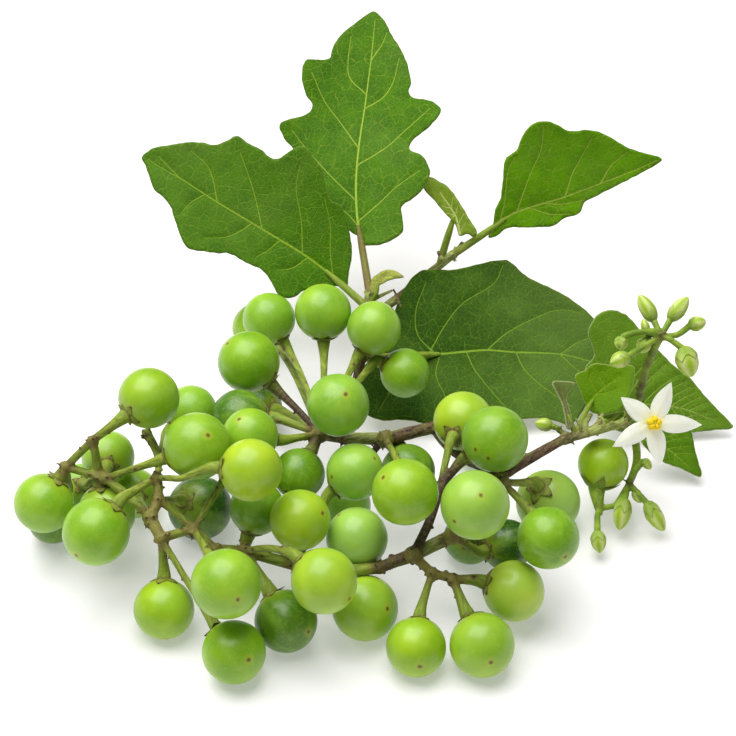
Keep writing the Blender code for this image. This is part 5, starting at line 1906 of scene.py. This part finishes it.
def spray_piece(name):
    """A spray's stalks, melted into one, with its buds and cups on them."""
    spray = BUD_SPRAYS[name]
    fork = spot(*spray["fork"])
    stalks = bmesh.new()
    line = curve_through([stop_place(stop) for stop in spray["stem"]] + [fork],
                         STALK_STEP * MM)
    line, radii = fine(line, taper(spray["radius"], spray["radius"] * 0.9, len(line)))
    tube(stalks, line, radii)
    rng = random.Random(7)
    add_warts(stalks, fork, spray["radius"] * 0.9, rng)
    brown = [(line[0], 4)] + [(spot(*place), reach) for place, reach in BROWN_SPOTS]
    for i in range(4, len(line) - 3, 4):
        brown.append((add_scar(stalks, line, radii, i, rng, size=0.3), SCAR_REACH))
    buds = []
    for foot_px, tip_px, height, radius, stops in spray["buds"]:
        middle = spot((foot_px[0] + tip_px[0]) / 2, (foot_px[1] + tip_px[1]) / 2, height)
        foot, tip = beside(middle, *foot_px), beside(middle, *tip_px)
        line = curve_through([fork] + [spot(*stop) for stop in stops] + [foot.lerp(tip, 0.12)],
                             2 * MM)
        tube(stalks, *fine(line, taper(BUD_STALK_RADIUS, BUD_STALK_RADIUS * 1.3, len(line))))
        buds.append((foot, tip, radius))
    if name == "bud_spray_upper":
        tube(stalks, *fine(*flower_stalk()))
    if name == "bud_spray_lower":
        cup_line = [unripe.place + unripe_pole * unripe.radius * 0.7]
        cup_line += [spot(*stop) for stop in UNRIPE_CUP]
        tube(stalks, *fine(cup_line, UNRIPE_CUP_RADII), sides=15)
    piece = melt(name + "_stalks", stalks, voxel=0.2)
    body = bmesh.new()
    body.from_mesh(piece.data)
    layers = {"cup": [1] * len(body.verts), "ridge": [0] * len(body.verts),
              "brown": nearness(piece.data, brown)}
    for foot, tip, radius in buds:
        bud_shape(body, foot, tip, radius, layers)
    if name == "bud_spray_lower":
        turn = aim_at(unripe.place, unripe_pole)
        dry = []
        for i in range(5):
            sepal(body, turn, unripe.radius, math.tau * i / 5, UNRIPE_SEPAL_REACH, 0.2, dry)
        layers["brown"] += [0.6 * tip for tip in dry]
        layers["cup"] += [1] * len(dry)
        layers["ridge"] += [0] * len(dry)
    fill(piece.data, body, layers)
    piece.data.materials.append(bud_green)
    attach(piece, "root")
    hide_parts(name)
    return piece


unripe_pole = (spot(*UNRIPE_CUP[0]) - unripe.place).normalized()
for spray_name in BUD_SPRAYS:
    made = spray_piece(spray_name)
    print(made.name, len(made.data.polygons), "faces")

# %% The unripe berry
berries_piece("unripe_berry", "bud_spray_lower", [(unripe, unripe_pole)], random.Random(5))

# %% [markdown]
# ## The open flower
# Five narrow pointed petals, joined at their feet, creamy white with a faint green middle
# line. They are crisp and slightly folded along that line. In the middle five golden anthers
# stand close together round the green style. A cut-out picture would show no fold, so a petal
# is a thin closed sheet of rows and columns, bent by a short formula.

# %% Petal finish
def petal_finish():
    """Creamy white with a faint painted glow, greenish along the middle and yellow at the foot.
    """
    # The faint glow is painted light: it keeps the petals bright where they face away from the
    # lamp.
    finish, base = new_finish(
        "petal_white", Specular_IOR_Level=0.3, Roughness=0.5, Emission_Color=(1, 1, 0.9, 1),
        Emission_Strength=0.13, Subsurface_Weight=0.5, Subsurface_Scale=0.003,
        Subsurface_Radius=(1.0, 1.0, 0.8))
    along = base.attribute("along")
    middle = base.attribute("middle")
    grain = base.noise(base.place(), 1500, 3, 0.6)
    colour = grain.step(0.35, 0.7).blend(srgb(244, 245, 222), srgb(252, 252, 236))
    colour = (middle * 0.4 * (1 - along * 0.5)).clip().blend(colour, srgb(214, 218, 170))
    colour = (along.step(0.36, 0.06) * 0.7).blend(colour, srgb(240, 234, 100))
    colour.feed("Base Color")
    (grain * 0.7 + middle * 0.3).bump(0.08)
    return finish


petal_white = petal_finish()
print("petal finish ready")

# %% Petals
PETAL_TIPS = [(613, 447), (621, 397), (672, 382), (703, 425), (661, 466)]
PETAL_HALF_WIDTH = 1.9
PETAL_SINK = 0.9
PETAL_HALF_SHEET = 0.12
PETAL_ROWS = 26
PETAL_COLUMNS = 11


def petal_width(s):
    """A petal's width at a share of its length, as a share of its greatest width."""
    return math.sin(math.pi * (0.22 + 0.78 * s) ** 1.15)


def petals_piece():
    """Five petals, each a thin closed sheet folded along its middle."""
    middle = spot(*FLOWER_MIDDLE)
    tips = [beside(middle, *tip) - middle for tip in PETAL_TIPS]
    spokes = [Vector((tip.dot(SIDEWAYS), tip.dot(UPWARD))) for tip in tips]
    reach = spokes[0].length
    body = bmesh.new()
    values = {"along": [], "middle": []}
    for spoke in spokes:
        side = Vector((spoke.y, -spoke.x)).normalized() * PETAL_HALF_WIDTH * MM
        layers = []
        for depth in (-PETAL_HALF_SHEET, PETAL_HALF_SHEET):
            grid = []
            for i in range(PETAL_ROWS):
                s = 0.02 + 0.98 * i / (PETAL_ROWS - 1)
                width = petal_width(max(s, 0.3)) * min(1, s / 0.3) ** 0.6
                row = []
                for k in range(PETAL_COLUMNS):
                    t = k / (PETAL_COLUMNS - 1) * 2 - 1
                    flat = spoke * s + side * width * t
                    sink = PETAL_SINK * (flat.length / reach) ** 2 - 0.35 * (1 - abs(t)) * width
                    sink += 0.12 * math.sin(9 * s + 3 * t) * abs(t) + depth
                    row.append(body.verts.new(middle + SIDEWAYS * flat.x + UPWARD * flat.y
                                              + FORWARD * sink * MM))
                    values["along"].append(s)
                    values["middle"].append((1 - abs(t)) ** 3)
                grid.append(row)
            layers.append(grid)
        skin(body, layers)
    piece = new_object("petals", fill(bpy.data.meshes.new("petals"), body, values))
    piece.data.materials.append(petal_white)
    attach(piece, "root")
    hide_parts("flower_petals")
    return piece


print("petals:", len(petals_piece().data.polygons), "faces")

# %% Anther finish
def anther_finish():
    """Golden anthers and a green style."""
    finish, base = new_finish("anther_yellow", Specular_IOR_Level=0.3, Roughness=0.45,
                              Subsurface_Weight=0.1, Subsurface_Scale=0.001)
    grain = base.noise(base.place(), 1800, 3, 0.6)
    colour = grain.step(0.3, 0.7).blend(srgb(255, 204, 0), srgb(255, 232, 20))
    colour = base.attribute("style").blend(colour, srgb(206, 206, 60))
    colour.feed("Base Color")
    grain.bump(0.06)
    return finish


anther_yellow = anther_finish()
print("anther finish ready")

# %% Anthers
ANTHER_LENGTH = 3.136
ANTHER_RADIUS = 0.62
ANTHER_RING = 1.0
ANTHER_ROWS = 10
ANTHER_SIDES = 14
STYLE_GIRTH = 0.45


def anthers_piece():
    """The style and five anthers round it, which lean together at the top."""
    start = spot(*FLOWER_MIDDLE) - FORWARD * (PETAL_THICKNESS / 2 + GAP) * MM
    turn = aim_at(start, -FORWARD)
    body = bmesh.new()
    style = []
    for i in range(6):
        is_style = i == 0
        foot = around(math.tau * i / 5 + 0.3, 0 if is_style else ANTHER_RING * MM)
        rings = []
        for j in range(ANTHER_ROWS + 1):
            t = j / ANTHER_ROWS
            width = ANTHER_RADIUS * (0.5 + 0.65 * math.sin(math.pi * (0.15 + 0.7 * t))) * MM
            width *= STYLE_GIRTH if is_style else 1
            middle = foot * (1 - 0.3 * t)
            ring = []
            for k in range(ANTHER_SIDES):
                angle = math.tau * k / ANTHER_SIDES
                out = around(angle, width, t * ANTHER_LENGTH * MM)
                out.x *= 1 + 0.12 * math.cos(2 * angle)
                ring.append(body.verts.new(turn @ (middle + out)))
            rings.append(ring)
            style += [float(is_style)] * ANTHER_SIDES
        join_rings(body, rings)
    piece = new_object("anthers", fill(bpy.data.meshes.new("anthers"), body, {"style": style}))
    piece.data.materials.append(anther_yellow)
    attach(piece, "root")
    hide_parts("flower_anthers")
    return piece


print("anthers:", len(anthers_piece().data.polygons), "faces")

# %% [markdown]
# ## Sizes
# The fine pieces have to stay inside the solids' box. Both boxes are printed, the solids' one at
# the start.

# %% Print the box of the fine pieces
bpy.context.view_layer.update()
print("visual box from", list(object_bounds()[0]), "to", list(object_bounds()[1]))
